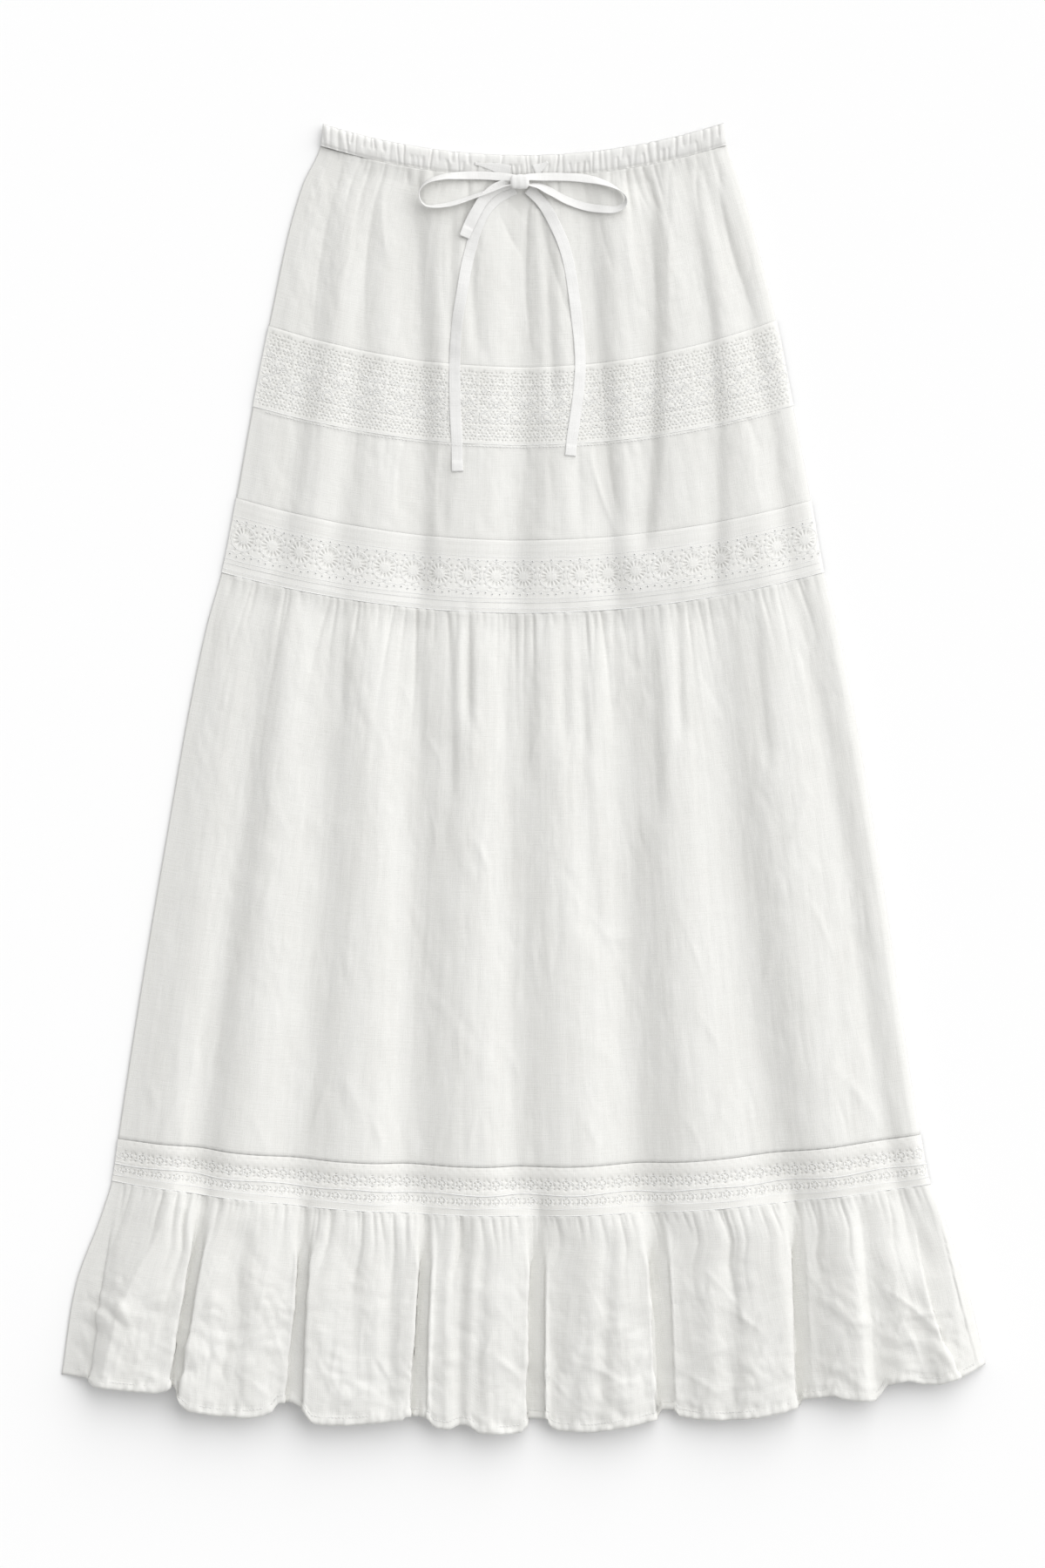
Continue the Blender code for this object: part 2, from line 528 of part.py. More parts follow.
def band_half(name, seat, side, crests, gather):
    """Half of the waist casing: gathered on its outer side, plain on the side at seat.

    side is 1 for the front half, which rises from seat, and -1 for the back half. crests are
    the heights of its rows, from its top edge to the seam, as shares of BAND_THICK.
    """
    mesh = bmesh.new()
    across = band_columns(3 * BAND_GATHERS + 1 if gather else BACK_COLUMNS)
    roll = np.sqrt(1.0 - side_share(across, 0.0, BAND_THICK) ** 2)
    wave = np.cos(math.pi * BAND_GATHERS * (across + sway(BAND_SPACING, across) + 1.0))
    wave = wave * (BAND_SHARE + sway(BAND_SWELL, across)) * roll
    rows = np.linspace(0.0, BAND_DEEP - SEAM_GAP / 2, len(crests))
    skin = []
    for k, (drop, crest) in enumerate(zip(rows, crests)):
        x, y = plan_point(across, drop)
        thick = BAND_THICK * crest * roll + gather * crest * wave
        height = seat + side * np.maximum(thick, BAND_EDGE)
        if k == 0:
            y = y + 0.5 * gather * wave
        skin.append(np.stack([x, y, height], axis=-1))
    seat_rows = [np.array(row) for row in (skin[0], skin[-1])]
    for row in seat_rows:
        row[:, 2] = seat
    outer = [[mesh.verts.new(p) for p in row] for row in skin]
    inner = [[mesh.verts.new(p) for p in row] for row in seat_rows]
    upper, lower = (outer, inner) if side > 0 else (inner, outer)
    close_wall(mesh, upper, lower)
    return add_object(name, mesh, CLOTH_COLOUR)


def build_waistband():
    band_half("waistband_front", BAND_THICK + SEAM_GAP, 1, (0.45, 0.9, 1.0, 0.9, 0.5), BAND_BULGE)
    band_half("waistband_back", BAND_THICK, -1, (0.55, 1.0, 1.0, 1.0, 0.55), 0.0)


def cloth_top(x, y):
    """Height of the front's upper side under a place of the plan."""
    drop = WAIST_Y - y
    across = 0.0
    for _ in range(6):
        half = column_at("left" if x < 0 else "right", drop)
        rise = column_at("rise_left" if x < 0 else "rise_right", drop)
        across = x / half
        drop = WAIST_Y - y + rise * across**2
    if drop < BAND_DEEP:
        return 2 * BAND_THICK + SEAM_GAP + BAND_BULGE
    return float(front_surface(np.array([across]), drop)[0, 2]) + CLOTH / 2


def tape_base(x, y):
    """Height of a tape that bridges the small hollows of the cloth under it."""
    steps = [(dx, dy) for dx in (-5.0, -2.5, 0.0, 2.5, 5.0) for dy in (-6.0, -3.0, 0.0, 3.0, 6.0)]
    return max(cloth_top(x + dx, y + dy) for dx, dy in steps) + SEAM_GAP


def smooth_route(stations, step):
    """Points about a step apart on a Catmull-Rom curve through the stations' columns."""
    table = np.array(stations, dtype=float)
    table = np.vstack([2 * table[0] - table[1], table, 2 * table[-1] - table[-2]])
    points = []
    for k in range(1, len(table) - 2):
        a, b, c, d = table[k - 1 : k + 3]
        count = max(1, round(float(np.linalg.norm((c - b)[:2])) / step))
        for t in np.arange(count) / count:
            points.append(
                0.5 * (2 * b + (c - a) * t + (2 * a - 5 * b + 4 * c - d) * t**2
                       + (3 * b - a - 3 * c + d) * t**3)
            )
    points.append(table[-2])
    return np.array(points)


def tape(name, stations, step=5.0):
    """A flat tape along its stations.

    x, y: its middle; lean: 0 where it lies flat and 90 where it stands on edge; raise: how far
    its lowest edge lies above the cloth.
    """
    route = smooth_route(stations, step)
    lean = np.radians(route[:, 2])
    base = np.array([tape_base(x, y) for x, y in route[:, :2]])
    padded = np.pad(base, 1, mode="edge")
    base = np.maximum(base, (padded[:-2] + padded[1:-1] + padded[2:]) / 3.0)
    rise = np.abs(np.sin(lean)) * TAPE_WIDE / 2 + np.abs(np.cos(lean)) * TAPE_THICK / 2
    centre = np.column_stack([route[:, 0], route[:, 1], base + route[:, 3] + rise])
    tangent = np.gradient(centre, axis=0)
    tangent /= np.linalg.norm(tangent, axis=1, keepdims=True)
    level = np.cross([0.0, 0.0, 1.0], tangent)
    level /= np.linalg.norm(level, axis=1, keepdims=True)
    upright = np.cross(tangent, level)
    wide = upright * np.sin(lean)[:, None] - level * np.cos(lean)[:, None]
    thick = np.cross(tangent, wide)
    mesh = bmesh.new()
    corners = [(-1, -1), (1, -1), (1, 1), (-1, 1)]
    rings = []
    for c, w, n in zip(centre, wide * TAPE_WIDE / 2, thick * TAPE_THICK / 2):
        rings.append([mesh.verts.new(c + w * a + n * b) for a, b in corners])
    for low, high in zip(rings, rings[1:]):
        for k in range(4):
            m = (k + 1) % 4
            mesh.faces.new([low[k], low[m], high[m], high[k]])
    mesh.faces.new(rings[0][::-1])
    mesh.faces.new(rings[-1])
    return add_object(name, mesh, TAPE_COLOUR)


def build_bow():
    """The drawstring tape: two stretches from the casing, a knot, two loops and three ends."""
    mesh = bmesh.new()
    bmesh.ops.create_cube(mesh, size=1.0)
    bmesh.ops.scale(mesh, vec=KNOT_SIZE, verts=mesh.verts)
    bmesh.ops.translate(mesh, vec=KNOT_PLACE, verts=mesh.verts)
    edges = [e for e in mesh.edges if abs(e.verts[0].co.z - e.verts[1].co.z) < 0.1]
    top = [e for e in edges if e.verts[0].co.z > KNOT_PLACE[2]]
    bmesh.ops.bevel(mesh, geom=top, offset=2.0, segments=2, affect="EDGES", profile=0.5)
    add_object("tie_knot", mesh, TAPE_COLOUR)
    for name, stations in TAPES.items():
        tape(name, stations)


def main():
    for item in list(bpy.data.objects):
        bpy.data.objects.remove(item, do_unlink=True)
    build_waistband()
    build_panels()
    build_bow()


main()
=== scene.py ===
"""Looks of a tiered ruffle maxi skirt in white cotton, laid flat on its back.

X runs across the skirt, Y up its length to the waist, Z up from the surface. The tables and the
forms are in millimetres, and MM turns them into metres.
"""
import math
from collections import namedtuple

import bpy
import numpy as np
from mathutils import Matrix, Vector
from mathutils.bvhtree import BVHTree
from mathutils.geometry import delaunay_2d_cdt


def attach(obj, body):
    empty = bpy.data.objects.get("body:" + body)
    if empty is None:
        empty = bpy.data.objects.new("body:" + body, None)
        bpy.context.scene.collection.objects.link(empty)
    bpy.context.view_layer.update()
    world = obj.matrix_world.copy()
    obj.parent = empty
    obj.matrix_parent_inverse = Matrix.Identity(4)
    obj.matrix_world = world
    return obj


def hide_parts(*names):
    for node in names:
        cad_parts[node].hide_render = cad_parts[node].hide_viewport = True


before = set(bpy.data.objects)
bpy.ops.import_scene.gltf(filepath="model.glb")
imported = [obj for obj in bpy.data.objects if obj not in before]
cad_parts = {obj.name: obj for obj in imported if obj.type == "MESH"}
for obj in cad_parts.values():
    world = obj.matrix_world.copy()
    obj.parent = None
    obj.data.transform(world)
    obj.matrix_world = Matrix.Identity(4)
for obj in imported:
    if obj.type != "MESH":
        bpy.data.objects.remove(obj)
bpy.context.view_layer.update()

MM = 0.001

# ---------------------------------------------------------------- the form, as in the solids
CLOTH = 1.2             # wall of the solids
SKIN = 0.8              # thickness of the cloth here
SEAM_GAP = 0.3          # between neighbouring pieces
BAND_DEEP = 16.5        # the casing, from its top edge to its seam
BAND_THICK = 3.2        # half of the casing: two layers of cloth round the elastic
WAIST_Y = 462.7         # middle of the waist's top edge
FRONT_FLOOR = CLOTH + SEAM_GAP + CLOTH / 2      # lowest middle surface of the front cloth
UNDERLAP = 1.5          # how far a tier's edge runs in under the lace
TUCK = 0.45             # how far such an edge lies below the tier's own surface
SLACK = 0.9             # room between a tier's fine outer side and its coarse inner one
INSIDE_FLOOR = 1.3      # lowest height of the front's inner side, over the back
TAPE_WIDE = 8.5
TAPE_THICK = 1.0        # of the solids
TAPE_SKIN = 0.6         # share of that thickness here
SIDE_SEAM_Z = 0.85      # height of the side seams
THIN_SIDE = 12.0        # last stretch of the cloth, over which it thins to half at a side seam
BACK_ROLL = 3.2         # last stretch of the back, which curls up to the seam
BACK_HEM_RISE = 13.0    # how much higher the back's hem lies, away from the sides

# The front's sides, left and right. SIDE_ROLL: last stretch, which curls down to the seam;
# SIDE_SLOPE: width of the slope beside it, and SLOPE_GAIN: how much wider it is at the hem;
# SIDE_DROP: share of its height that the front loses on it, and how much more at the hem;
# DROP_BEND: how the loss is spread over the slope.
SIDE_ROLL = 2.4
SIDE_SLOPE, SLOPE_GAIN = (46.0, 6.0), (-0.35, 1.6)
SIDE_DROP, DROP_GAIN, DROP_BEND = (0.99, 0.55), 0.37, (1.25, 1.4)
# The right side lies low. SIDE_LOW: share of its height that it loses, and LOW_EASE: how much
# less at the hem; LOW_REACH: drop, and width of the low stretch there.
SIDE_LOW, LOW_EASE = 0.66, 0.30
LOW_REACH = [
    (20.0, 34.0), (330.0, 48.0), (400.0, 92.0), (780.0, 92.0), (860.0, 46.0), (950.0, 40.0),
]
# The shallow valley along it, where the low stretch is wide: its depth, its distance from the
# side and its width; and the width at which it starts, and the stretch over which it comes.
VALLEY_DEPTH, VALLEY_IN, VALLEY_WIDE = 0.52, 24.0, 9.0
VALLEY_FROM, VALLEY_FADE = 40.0, 30.0

FOLD_FADE = 32.0        # stretch over which a fold comes and goes
WAIST_FADE = 14.0       # the same for a fold that comes out of the waist seam
SAG_FROM, SAG_FADE, SAG = 600.0, 160.0, 2.0     # how the folds bend the lower lace band
FLANK = (6.0, 0.18)     # softness of a recess's flanks, at the ruffle's seam and below
FLANK_FADE = 42.0
RECESS_START = 0.85     # share of its depth that a recess has at the ruffle's seam

Level = namedtuple("Level", "name drop left right rise_left rise_right lift")
LEVELS = [
    Level("waist top", 0.0, 148.6, 149.2, 23.3, 23.9, 5.2),
    Level("waist seam", 16.5, 150.3, 151.5, 23.3, 23.9, 5.2),
    Level("below the waist", 47.2, 163.8, 161.2, 24.6, 25.9, 7.6),
    Level("upper lace top", 157.7, 188.7, 188.1, 31.0, 34.9, 9.0),
    Level("upper lace foot", 215.9, 200.7, 200.7, 29.1, 29.7, 9.0),
    Level("middle lace top", 286.3, 212.9, 213.9, 31.7, 29.7, 9.6),
    Level("middle lace foot", 340.6, 223.9, 223.6, 30.4, 30.4, 9.6),
    Level("top of the lower tier", 380.0, 234.9, 233.6, 30.4, 30.4, 13.5),
    Level("lower tier middle", 544.8, 266.6, 263.7, 27.1, 27.1, 16.0),
    Level("lower lace top", 752.2, 300.8, 295.3, 21.3, 24.6, 16.5),
    Level("lower lace foot", 788.4, 305.4, 302.8, 25.9, 23.9, 16.5),
    Level("top of the ruffle", 809.8, 312.0, 311.2, 25.9, 23.9, 18.0),
    Level("ruffle middle", 867.9, 331.2, 328.6, 32.3, 32.3, 20.5),
    Level("hem", 949.5, 342.8, 343.8, 43.3, 51.1, 20.0),
]
# Cut sizes of the front pieces, which the back's are the same as, in metres.
CLOTH_SIZE = {
    "waistband": (0.39, 0.036), "upper_tier": (0.40, 0.145), "lace_upper": (0.405, 0.058),
    "middle_tier": (0.45, 0.07), "lace_middle": (0.45, 0.054), "lower_tier": (0.64, 0.412),
    "lace_lower": (0.63, 0.036), "hem_ruffle": (0.95, 0.16),
}
DROP = {level.name: level.drop for level in LEVELS}
DROPS = np.array([level.drop for level in LEVELS])

# Valleys of the front. start, end: drops; x_start, x_middle, x_end: its place; depth: share of
# the crest's height that it loses; wide_left, wide_right: from its bottom to its flanks.
Fold = namedtuple("Fold", "start end x_start x_middle x_end depth wide_left wide_right")
UPPER_FOLDS = [
    Fold(120, 350, -186, -208, -234, 0.35, 9.0, 8.0),
    Fold(16, 350, -140, -163, -186, 0.65, 13.0, 13.0),
    Fold(16, 350, -116, -124, -146, 0.55, 11.0, 15.0),
    Fold(16, 350, -85, -75, -79, 0.95, 20.0, 10.0),
    Fold(30, 180, -52, -53, -54, 0.30, 4.5, 4.5),
    Fold(40, 160, -39, -37, -33, 0.30, 5.0, 6.0),
    Fold(16, 350, -5, 0, -12, 0.90, 16.0, 15.0),
    Fold(16, 200, 14, 19, 23, 0.40, 5.0, 5.0),
    Fold(16, 350, 44, 58, 68, 0.80, 18.0, 10.0),
    Fold(16, 310, 92, 97, 88, 0.80, 16.0, 7.0),
    Fold(16, 350, 116, 141, 141, 0.55, 13.0, 7.0),
    Fold(16, 350, 128, 176, 200, 0.55, 11.0, 7.0),
    Fold(205, 300, -58, -59, -60, 0.25, 5.0, 5.0),
    Fold(205, 290, 40, 42, 44, 0.25, 5.0, 5.0),
]
LOWER_FOLDS = [
    Fold(325, 440, -131, -133, -136, 0.18, 5.0, 4.0),
    Fold(325, 470, -78, -77, -76, 0.25, 5.0, 4.0),
    Fold(325, 490, -54, -53, -53, 0.20, 8.0, 4.0),
    Fold(325, 430, -41, -41, -41, 0.30, 4.0, 4.0),
    Fold(325, 450, -12, -12, -12, 0.12, 5.0, 4.0),
    Fold(325, 480, 3, 4, 4, 0.16, 7.0, 4.5),
    Fold(325, 450, 30, 30, 31, 0.20, 5.0, 4.0),
    Fold(325, 460, 46, 46, 47, 0.22, 5.0, 4.0),
    Fold(325, 440, 67, 67, 68, 0.25, 5.0, 4.0),
    Fold(325, 510, 94, 96, 99, 0.24, 14.0, 6.0),
    Fold(325, 450, 114, 116, 118, 0.25, 5.0, 4.0),
    Fold(325, 470, 153, 156, 160, 0.10, 6.0, 5.0),
    Fold(325, 480, 170, 175, 183, 0.28, 14.0, 6.0),
    Fold(325, 800, -186, -217, -246, 0.70, 22.0, 16.0),
    Fold(325, 800, -146, -152, -174, 0.56, 24.0, 20.0),
    Fold(325, 800, -81, -82, -86, 0.69, 19.0, 25.0),
    Fold(325, 800, -9, -8, -1, 0.53, 16.0, 24.0),
    Fold(325, 600, 36, 44, 56, 0.22, 12.0, 8.0),
    Fold(325, 800, 76, 77, 87, 0.82, 25.0, 25.0),
    Fold(325, 800, 141, 162, 194, 0.76, 30.0, 24.0),
    Fold(325, 800, 200, 232, 262, 0.22, 16.0, 20.0),
]
RUFFLE_FOLDS = [
    Fold(770, 980, -302, -315, -332, 0.22, 20.0, 6.0),
    Fold(790, 980, -206, -214, -219, 0.17, 14.0, 8.0),
    Fold(780, 980, -168, -173, -179, 0.20, 15.0, 4.0),
    Fold(790, 930, -131, -124, -118, 0.10, 12.0, 8.0),
    Fold(780, 960, -94, -98, -100, 0.13, 8.0, 7.0),
    Fold(780, 980, -62, -66, -69, 0.26, 4.0, 10.0),
    Fold(775, 980, -43, -47, -47, 0.28, 7.0, 7.0),
    Fold(790, 980, -28, -33, -36, 0.14, 6.0, 6.0),
    Fold(780, 980, 6, 3, 2, 0.20, 15.0, 4.0),
    Fold(780, 980, 18, 20, 22, 0.53, 6.0, 24.0),
    Fold(790, 980, 66, 60, 54, 0.14, 8.0, 6.0),
    Fold(780, 980, 89, 94, 98, 0.20, 18.0, 4.0),
    Fold(780, 980, 110, 113, 116, 0.53, 6.0, 24.0),
    Fold(800, 980, 154, 154, 154, 0.22, 10.0, 9.0),
    Fold(770, 980, 204, 208, 214, 0.59, 8.0, 24.0),
    Fold(780, 980, 248, 258, 264, 0.49, 5.0, 20.0),
    Fold(790, 980, 280, 292, 302, 0.30, 14.0, 12.0),
]
# The recesses between the ruffle's lobes. open_start, open_middle, open_end: distance between
# the lips of the two lobes; left, right: share of the crest's height lost beside each of them.
Recess = namedtuple("Recess", "start end x_start x_middle x_end open_start open_middle open_end"
                              " left right")
RECESSES = [
    Recess(760, 980, -319, -337, -348, 50, 50, 50, 0.34, 0.46),
    Recess(760, 980, -228, -248.5, -262, 8, 9, 4, 0.56, 0.30),
    Recess(760, 980, -159, -165.5, -172, 13, 10, 18, 0.54, 0.30),
    Recess(765, 980, -68, -75, -78, 10, 11, 15, 0.66, 0.28),
    Recess(760, 980, 13, 10, 9.5, 11, 13.5, 15, 0.97, 0.64),
    Recess(760, 980, 97, 103, 106.5, 17, 16, 15, 0.99, 0.58),
    Recess(760, 980, 202, 206, 210, 11, 12, 13, 0.99, 0.60),
    Recess(780, 980, 296, 313, 341, 14, 22, 8, 0.42, 0.16),
]

# How far the hem lies above its level: place across the skirt and rise.
HEM_LINE = [
    (-348, 0.0), (-323, 2.6), (-318, -2.5), (-291, 0.6), (-272, 3.2), (-264, 6.5), (-261, 11.0),
    (-257, 9.5), (-255, -1.5), (-249, -5.8), (-226, -5.5), (-204, -3.2), (-194, -0.6), (-186, 4.2),
    (-182, 10.5), (-172, 13.0), (-164, 10.0), (-161, 4.5), (-157, -0.6), (-149, -1.3), (-130, 0.3),
    (-104, 4.8), (-89, 7.4), (-87, 10.5), (-71, 10.7), (-69, 6.5), (-65, 3.0), (-55, 2.3),
    (-49, 5.2), (-44, 6.5), (-39, 5.2), (-33, 0.3), (-16, -0.2), (-1, 1.3), (2, 5.0), (4, 11.3),
    (18, 11.0), (20, 5.0), (26, 1.9), (51, 0.0), (77, 2.6), (97, 5.8), (101, 7.8), (103, 13.0),
    (113, 12.5), (115, 7.5), (129, 3.6), (148, 0.6), (174, -1.0), (194, 0.0), (206, 2.3),
    (208, 6.5), (232, 5.0), (236, 2.0), (248, -2.3), (261, -5.2), (266, -1.5), (270, 4.2),
    (286, 4.0), (297, -1.3), (310, -4.8), (322, -4.5), (332, -2.6), (344, 0.6),
]

Panel = namedtuple("Panel", "name top foot columns rows")
TIERS = [
    Panel("upper_tier", "waist seam", "upper lace top", 361, 97),
    Panel("middle_tier", "upper lace foot", "middle lace top", 321, 51),
    Panel("lower_tier", "middle lace foot", "lower lace top", 521, 125),
    Panel("hem_ruffle", "lower lace foot", "hem", 681, 85),
]

# Where a fuller tier is drawn into the band above it. start: drop of the seam; pitch: mean
# distance between gathers along the cloth; height: half of a gather's height; reach: how far
# the longest runs.
Gather = namedtuple("Gather", "tier start pitch height reach seed")
GATHERS = [
    Gather("upper_tier", DROP["waist seam"], 7.6, 2.0, 80.0, 11),
    Gather("middle_tier", DROP["upper lace foot"], 9.0, 1.0, 50.0, 12),
    Gather("lower_tier", DROP["middle lace foot"], 7.4, 2.3, 120.0, 13),
    Gather("hem_ruffle", DROP["lower lace foot"], 8.6, 2.5, 105.0, 14),
]


def smooth_step(value):
    """0 below 0, 1 above 1 and a soft ramp between."""
    value = np.clip(value, 0.0, 1.0)
    return value * value * (3.0 - 2.0 * value)


def column_at(column, drop):
    """A column of LEVELS at any drops, on a smooth curve through the levels."""
    values = np.array([getattr(level, column) for level in LEVELS])
    slopes = np.diff(values) / np.diff(DROPS)
    tangents = np.zeros(len(values))
    tangents[0], tangents[-1] = slopes[0], slopes[-1]
    same = slopes[:-1] * slopes[1:] > 0
    tangents[1:-1] = np.where(same, 0.5 * (slopes[:-1] + slopes[1:]), 0.0)
    drop = np.asarray(drop, dtype=float)
    i = np.clip(np.searchsorted(DROPS, drop) - 1, 0, len(DROPS) - 2)
    span = DROPS[i + 1] - DROPS[i]
    t = (drop - DROPS[i]) / span
    return (
        (2 * t**3 - 3 * t**2 + 1) * values[i]
        + (t**3 - 2 * t**2 + t) * span * tangents[i]
        + (3 * t**2 - 2 * t**3) * values[i + 1]
        + (t**3 - t**2) * span * tangents[i + 1]
    )


def left_or_right(across, drop, column):
    """A pair of LEVELS' columns, each on its own side."""
    return np.where(across < 0, column_at(column + "left", drop), column_at(column + "right", drop))


def plan_point(across, drop):
    """Place in the plane of the surface; across runs from -1 at the left side to 1."""
    rise = left_or_right(across, drop, "rise_")
    return across * left_or_right(across, drop, ""), WAIST_Y - drop + rise * across**2


def side_share(across, drop, roll):
    """0 over the skirt and 1 at its side, along the last stretch that is roll long."""
    half = left_or_right(across, drop, "")
    return np.clip(1.0 - (1.0 - np.abs(across)) * half / roll, 0.0, 1.0)


def off_side(across, half, reach):
    """0 at the side seams and 1 from reach inward, where the skirt is half wide to a side."""
    return smooth_step((1.0 - np.abs(across)) * half / reach)


def ruffle_share(drop):
    """0 above the ruffle, 1 at the hem and a soft ramp between."""
    return smooth_step((drop - DROP["lower lace foot"]) / (DROP["hem"] - DROP["lower lace foot"]))


def thin_side(across, drop):
    """0 over the skirt and 1 at its side seams, where the cloth is half as thick."""
    return smooth_step(side_share(across, drop, THIN_SIDE))


def bend(start, middle, end, t):
    """Three values along a stretch, on one smooth curve."""
    return start * (2 * t - 1) * (t - 1) + middle * 4 * t * (1 - t) + end * t * (2 * t - 1)


def crest_share(x, drop):
    """1 on a fold's crest and less in the valleys."""
    share = np.ones_like(x)
    for fold in UPPER_FOLDS + LOWER_FOLDS + RUFFLE_FOLDS:
        fade_in = FOLD_FADE if fold.start > BAND_DEEP + 1.0 else WAIST_FADE
        strength = fold.depth * smooth_step((drop - fold.start) / fade_in)
        strength = strength * smooth_step((fold.end - drop) / FOLD_FADE)
        active = strength > 0.0
        if not active.any():
            continue
        t = (drop[active] - fold.start) / (fold.end - fold.start)
        aside = x[active] - bend(fold.x_start, fold.x_middle, fold.x_end, t)
        wide = np.where(aside < 0, fold.wide_left, fold.wide_right)
        share[active] *= 1.0 - strength[active] * np.exp(-((aside / wide) ** 2))
    return share


def in_recess(x, drop):
    """1 in the ruffle's recesses and 0 on its lobes, and the share of the crest's height that
    their slanting bottoms have."""
    inside, bottom = np.zeros_like(x), np.ones_like(x)
    opened = smooth_step((drop - DROP["lower lace foot"]) / FLANK_FADE)
    for recess in RECESSES:
        fade = smooth_step((drop - recess.start) / FOLD_FADE)
        active = fade > 0.0
        if not active.any():
            continue
        t = (drop[active] - recess.start) / (recess.end - recess.start)
        aside = x[active] - bend(recess.x_start, recess.x_middle, recess.x_end, t)
        half = bend(recess.open_start, recess.open_middle, recess.open_end, t) / 2
        soft = FLANK[0] + (FLANK[1] - FLANK[0]) * opened[active]
        share = 0.5 * (1.0 - np.tanh((np.abs(aside) - half) / soft)) * fade[active]
        here = share > inside[active]
        inside[active] = np.where(here, share, inside[active])
        slant = np.clip(0.5 + 0.5 * aside / half, 0.0, 1.0)
        lost = recess.left + (recess.right - recess.left) * slant
        lost = lost * (RECESS_START + (1.0 - RECESS_START) * opened[active])
        bottom[active] = np.where(here, 1.0 - lost, bottom[active])
    return inside, bottom


def front_form(across, drop):
    """Middle surface of the front cloth without its small detail: points, one for each place."""
    across, drop = np.broadcast_arrays(np.asarray(across, float), np.asarray(drop, float))
    x, y = plan_point(across, drop)
    ruffle = ruffle_share(drop)
    crest = crest_share(x, drop)
    inside, bottom = in_recess(x, drop)
    share = crest + (bottom - crest) * inside

    side = side_share(across, drop, SIDE_ROLL)
    share = 1.0 - (1.0 - share) * (1.0 - smooth_step(side * 1.5))
    inward = (1.0 - across) * column_at("right", drop)
    reach = np.interp(drop, *np.transpose(LOW_REACH))
    share = share * (1.0 - (SIDE_LOW - LOW_EASE * ruffle) * smooth_step(1.0 - inward / reach))
    valley = VALLEY_DEPTH * np.exp(-(((inward - VALLEY_IN) / VALLEY_WIDE) ** 2))
    share = share * (1.0 - valley * smooth_step((reach - VALLEY_FROM) / VALLEY_FADE))
    height = FRONT_FLOOR + (column_at("lift", drop) - FRONT_FLOOR) * share

    wide = [SIDE_SLOPE[k] * (1.0 + SLOPE_GAIN[k] * ruffle) for k in (0, 1)]
    slope = side_share(across, drop, np.where(across < 0, *wide))
    lost = np.where(across < 0, SIDE_DROP[0] * (1.0 - (1.0 - slope) ** DROP_BEND[0]),
                    (SIDE_DROP[1] + DROP_GAIN * ruffle) * slope ** DROP_BEND[1])
    seam = SIDE_SEAM_Z + SEAM_GAP / 2
    height = seam + (height - seam) * (1.0 - lost) * np.sqrt(1.0 - side**2)

    y = y + ruffle**2.5 * np.interp(x, *np.transpose(HEM_LINE))
    y = y + SAG * smooth_step((drop - SAG_FROM) / SAG_FADE) * (1.0 - crest) * (1.0 - ruffle)
    return np.stack([x, y, height], axis=-1)


# ---------------------------------------------------------------- small detail of the cloth
def value_noise(x, y, seed):
    """Smooth noise from about -1 to 1 at every x, y, one bump to a unit."""
    rng = np.random.default_rng(seed)
    turn = rng.uniform(0.0, 2 * np.pi, (64, 64))
    grads = np.stack([np.cos(turn), np.sin(turn)], axis=-1)
    xi, yi = np.floor(x).astype(int), np.floor(y).astype(int)
    fx, fy = x - xi, y - yi
    total = np.zeros_like(fx)
    for dx in (0, 1):
        for dy in (0, 1):
            g = grads[(xi + dx) % 64, (yi + dy) % 64]
            dot = g[..., 0] * (fx - dx) + g[..., 1] * (fy - dy)
            wx = smooth_step(1.0 - np.abs(fx - dx))
            wy = smooth_step(1.0 - np.abs(fy - dy))
            total += dot * wx * wy
    return total * 1.6


def gather_relief(u, drop, gather):
    """Depth of the creases between the gathers below a seam. u: distance along the cloth."""
    rng = np.random.default_rng(gather.seed)
    along = drop - gather.start
    span = np.abs(u).max() + 10.0
    relief = np.zeros_like(u)
    place = -span
    while place < span:
        place += gather.pitch * rng.uniform(0.35, 1.65)
        reach = gather.reach * (0.10 + 0.90 * rng.uniform(0.0, 1.0) ** 2.6)
        height = gather.height * rng.uniform(0.35, 1.2) * (0.62 + 0.38 * reach / gather.reach)
        wide = gather.pitch * rng.uniform(0.13, 0.26)
        lean = rng.normal(0.0, 0.10)
        spread = rng.uniform(0.2, 1.8)
        near = (along < reach * 1.3) & (np.abs(u - place) < 26.0)
        t = np.maximum(along[near], 0.0) / reach
        aside = u[near] - place - lean * along[near] * (1.0 - 0.4 * t)
        width = wide * (1.0 + spread * t)
        soft = np.sqrt(aside**2 + 0.5**2 + (3.0 * t) ** 2) - np.sqrt(0.5**2 + (3.0 * t) ** 2)
        fade = (1.0 - t / 1.3) ** 1.5 * (0.45 + 0.55 * smooth_step(along[near] / 4.0))
        relief[near] -= height * np.clip(fade, 0.0, 1.0) * np.exp(-soft / width)
    return relief + 0.30 * gather.height * np.exp(-np.maximum(along, 0.0) / (0.5 * gather.reach))


